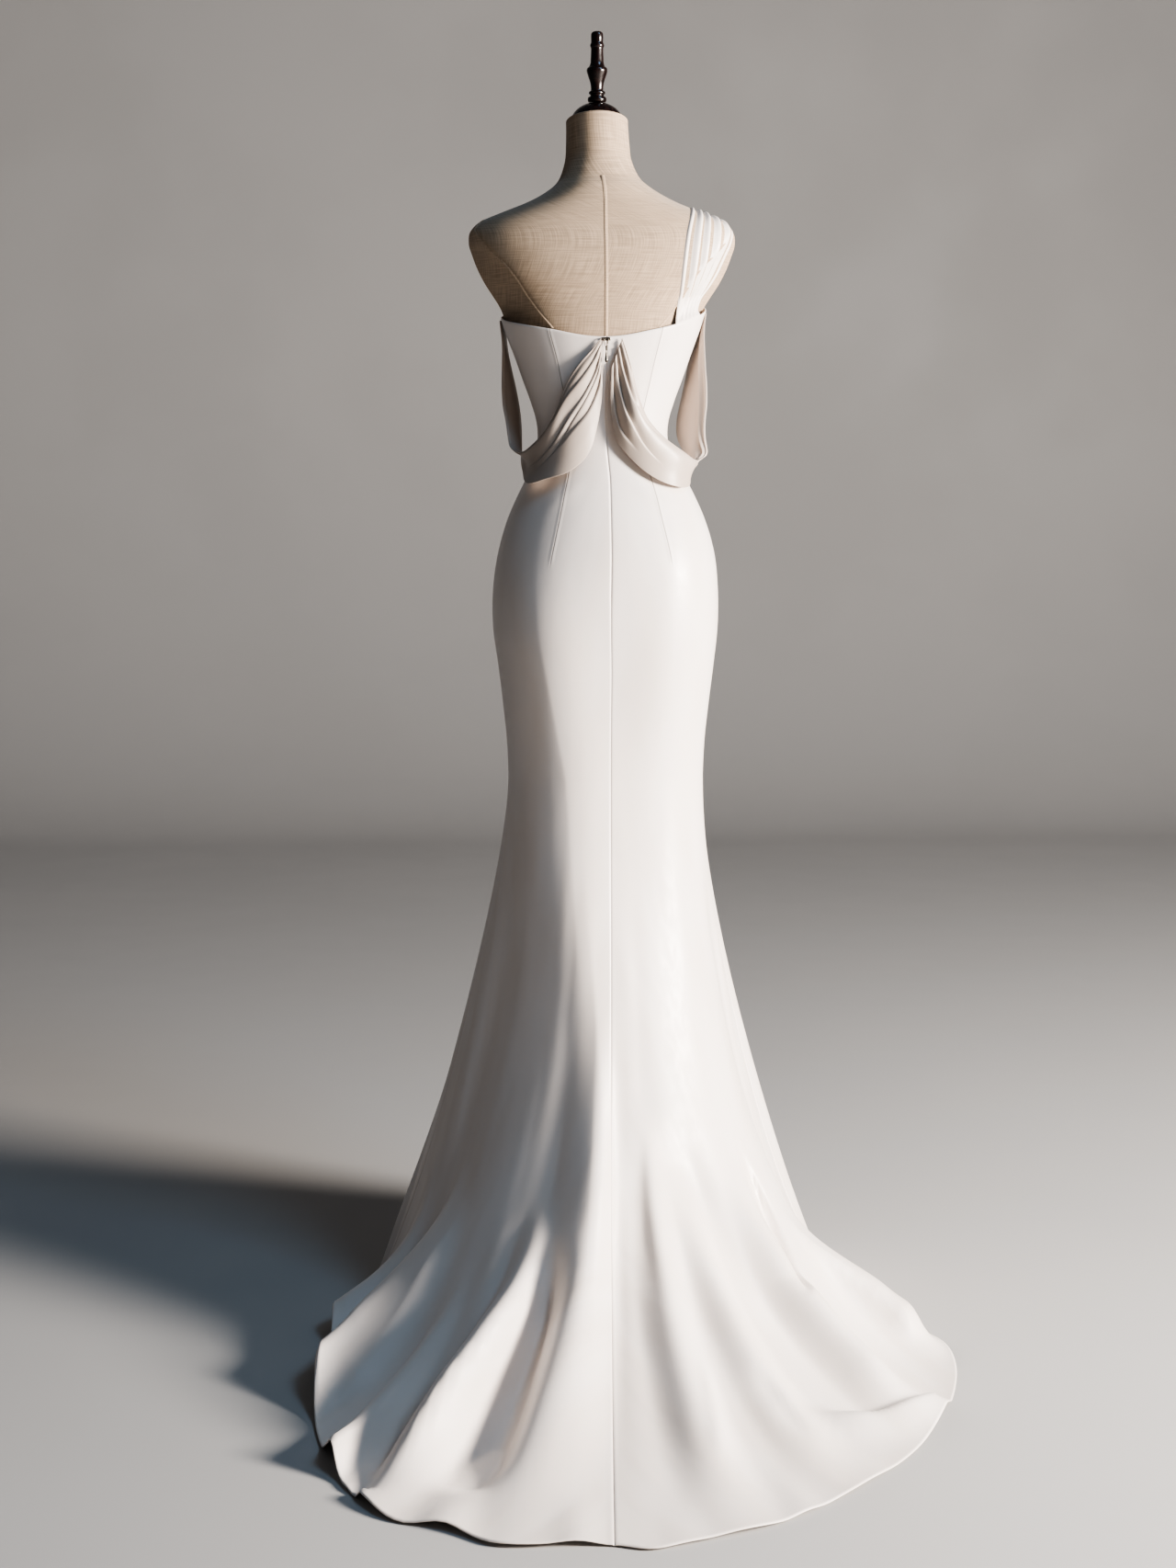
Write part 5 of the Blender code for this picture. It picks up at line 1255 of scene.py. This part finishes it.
def camera():
    """The photograph's view: a 55 mm lens at 3.5 m, 1.3 m high, 3.5 degrees to the wearer's left of the back."""
    azimuth, distance, height, pitch = math.radians(3.5), 3.5, 1.30, math.radians(8.42)
    data = bpy.data.cameras.new("view")
    data.lens = 55.0
    data.sensor_width = 36.0
    data.sensor_fit = "VERTICAL"
    data.sensor_height = 36.0
    up = Vector((0.0, 0.0, 1.0))
    forward = Vector((-math.sin(azimuth), -math.cos(azimuth), 0.0))
    side = forward.cross(up)
    turn = math.atan((POLE_COLUMN - 0.5 * FRAME_SIZE[0]) / (data.lens / data.sensor_height * FRAME_SIZE[1]))
    level = forward * math.cos(turn) - side * math.sin(turn)
    side = level.cross(up)
    forward = level * math.cos(pitch) - up * math.sin(pitch)
    upward = side.cross(forward)
    place = Vector((distance * math.sin(azimuth), distance * math.cos(azimuth), height))
    thing = bpy.data.objects.new("view", data)
    thing.matrix_world = Matrix.Translation(place) @ Matrix((side, upward, -forward)).transposed().to_4x4()
    bpy.context.scene.collection.objects.link(thing)
    bpy.context.scene.camera = thing


WORLD_STRENGTH = 0.09


def world():
    """A plain pale surround, and a picture contrast like the photograph's."""
    sky = bpy.data.worlds.new("surround")
    sky.use_nodes = True
    back = sky.node_tree.nodes["Background"]
    back.inputs["Color"].default_value = (0.90, 0.93, 1.0, 1.0)
    back.inputs["Strength"].default_value = WORLD_STRENGTH
    bpy.context.scene.world = sky
    bpy.context.scene.view_settings.look = "AgX - High Contrast"


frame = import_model()
BODY = next(name for name in frame["bodies"] if name != "zip_pull")
PULL_BODY = "zip_pull"

sewn_satin = satin_look("ivory_satin_sewn", True, SATIN_COLOUR, SATIN_WARM)
satin = satin_look("ivory_satin_cloth", False, SATIN_COLOUR, SATIN_WARM)
# the drapes' satin is a darker copy of the satin: painted shade
shade_painted_drape_satin = satin_look("ivory_satin_painted_shade", False, DRAPE_SHADED_COLOUR, DRAPE_SHADED_WARM)
linen = linen_look("beige_linen", 1.0)
# the welts' linen is 12 percent lighter than the linen: a painted highlight along the raised cords
linen_welt_highlight = linen_look("beige_linen_painted_highlight", 1.12)
wood = wood_look("polished_dark_wood")
metal = metal_look("darkened_silver", METAL_COLOUR, METAL_DARK, 0.34, 1.0, 900.0)
tape = metal_look("zip_tape", (0.60, 0.56, 0.51), (0.30, 0.27, 0.24), 0.60, 0.2, 1200.0)
paint = metal_look("black_paint", BLACK_PAINT, (0.028, 0.028, 0.030), 0.42, 0.0, 60.0)
floor_look = metal_look("pale_floor", FLOOR_COLOUR, tuple(c * 0.97 for c in FLOOR_COLOUR), 0.85, 0.0, 1.5)

panels = [
    dress_panel("back_left", 0.0, 90.0, BACK_COLUMNS, sewn_satin, ["back_left"]),
    dress_panel("back_right", 90.0, 180.0, BACK_COLUMNS, sewn_satin, ["back_right"]),
    dress_panel("front", 180.0, 360.0, FRONT_COLUMNS, sewn_satin, ["front_bodice", "front_skirt"]),
]
drapes = [
    hanging_piece("drape_left", partial(drape_surface, LEFT_DRAPE, LEFT_PLEATS, LEFT_SWELL), 180, 124,
                  shade_painted_drape_satin, flip=True),
    hanging_piece("drape_right", partial(drape_surface, RIGHT_DRAPE, RIGHT_PLEATS, RIGHT_SWELL), 180, 124,
                  shade_painted_drape_satin),
]
strap = hanging_piece("shoulder_strap", strap_surface, 220, 110, satin)
torso_piece(linen)
welts_piece(linen_welt_highlight)
cap_and_finial(wood)
zip_pieces(metal, tape)
for name in ("pole", "base"):
    node = frame["nodes"][name]
    node.data.materials.clear()
    node.data.materials.append(paint)

stage(floor_look)
lamp("key", 154.0, 14.0, 4.2, 1.00, 520.0, (1.0, 0.920, 0.845))
lamp("cool_fill", 134.0, 50.0, 4.0, 1.0, 38.0, (0.42, 0.70, 1.0))
camera()
world()
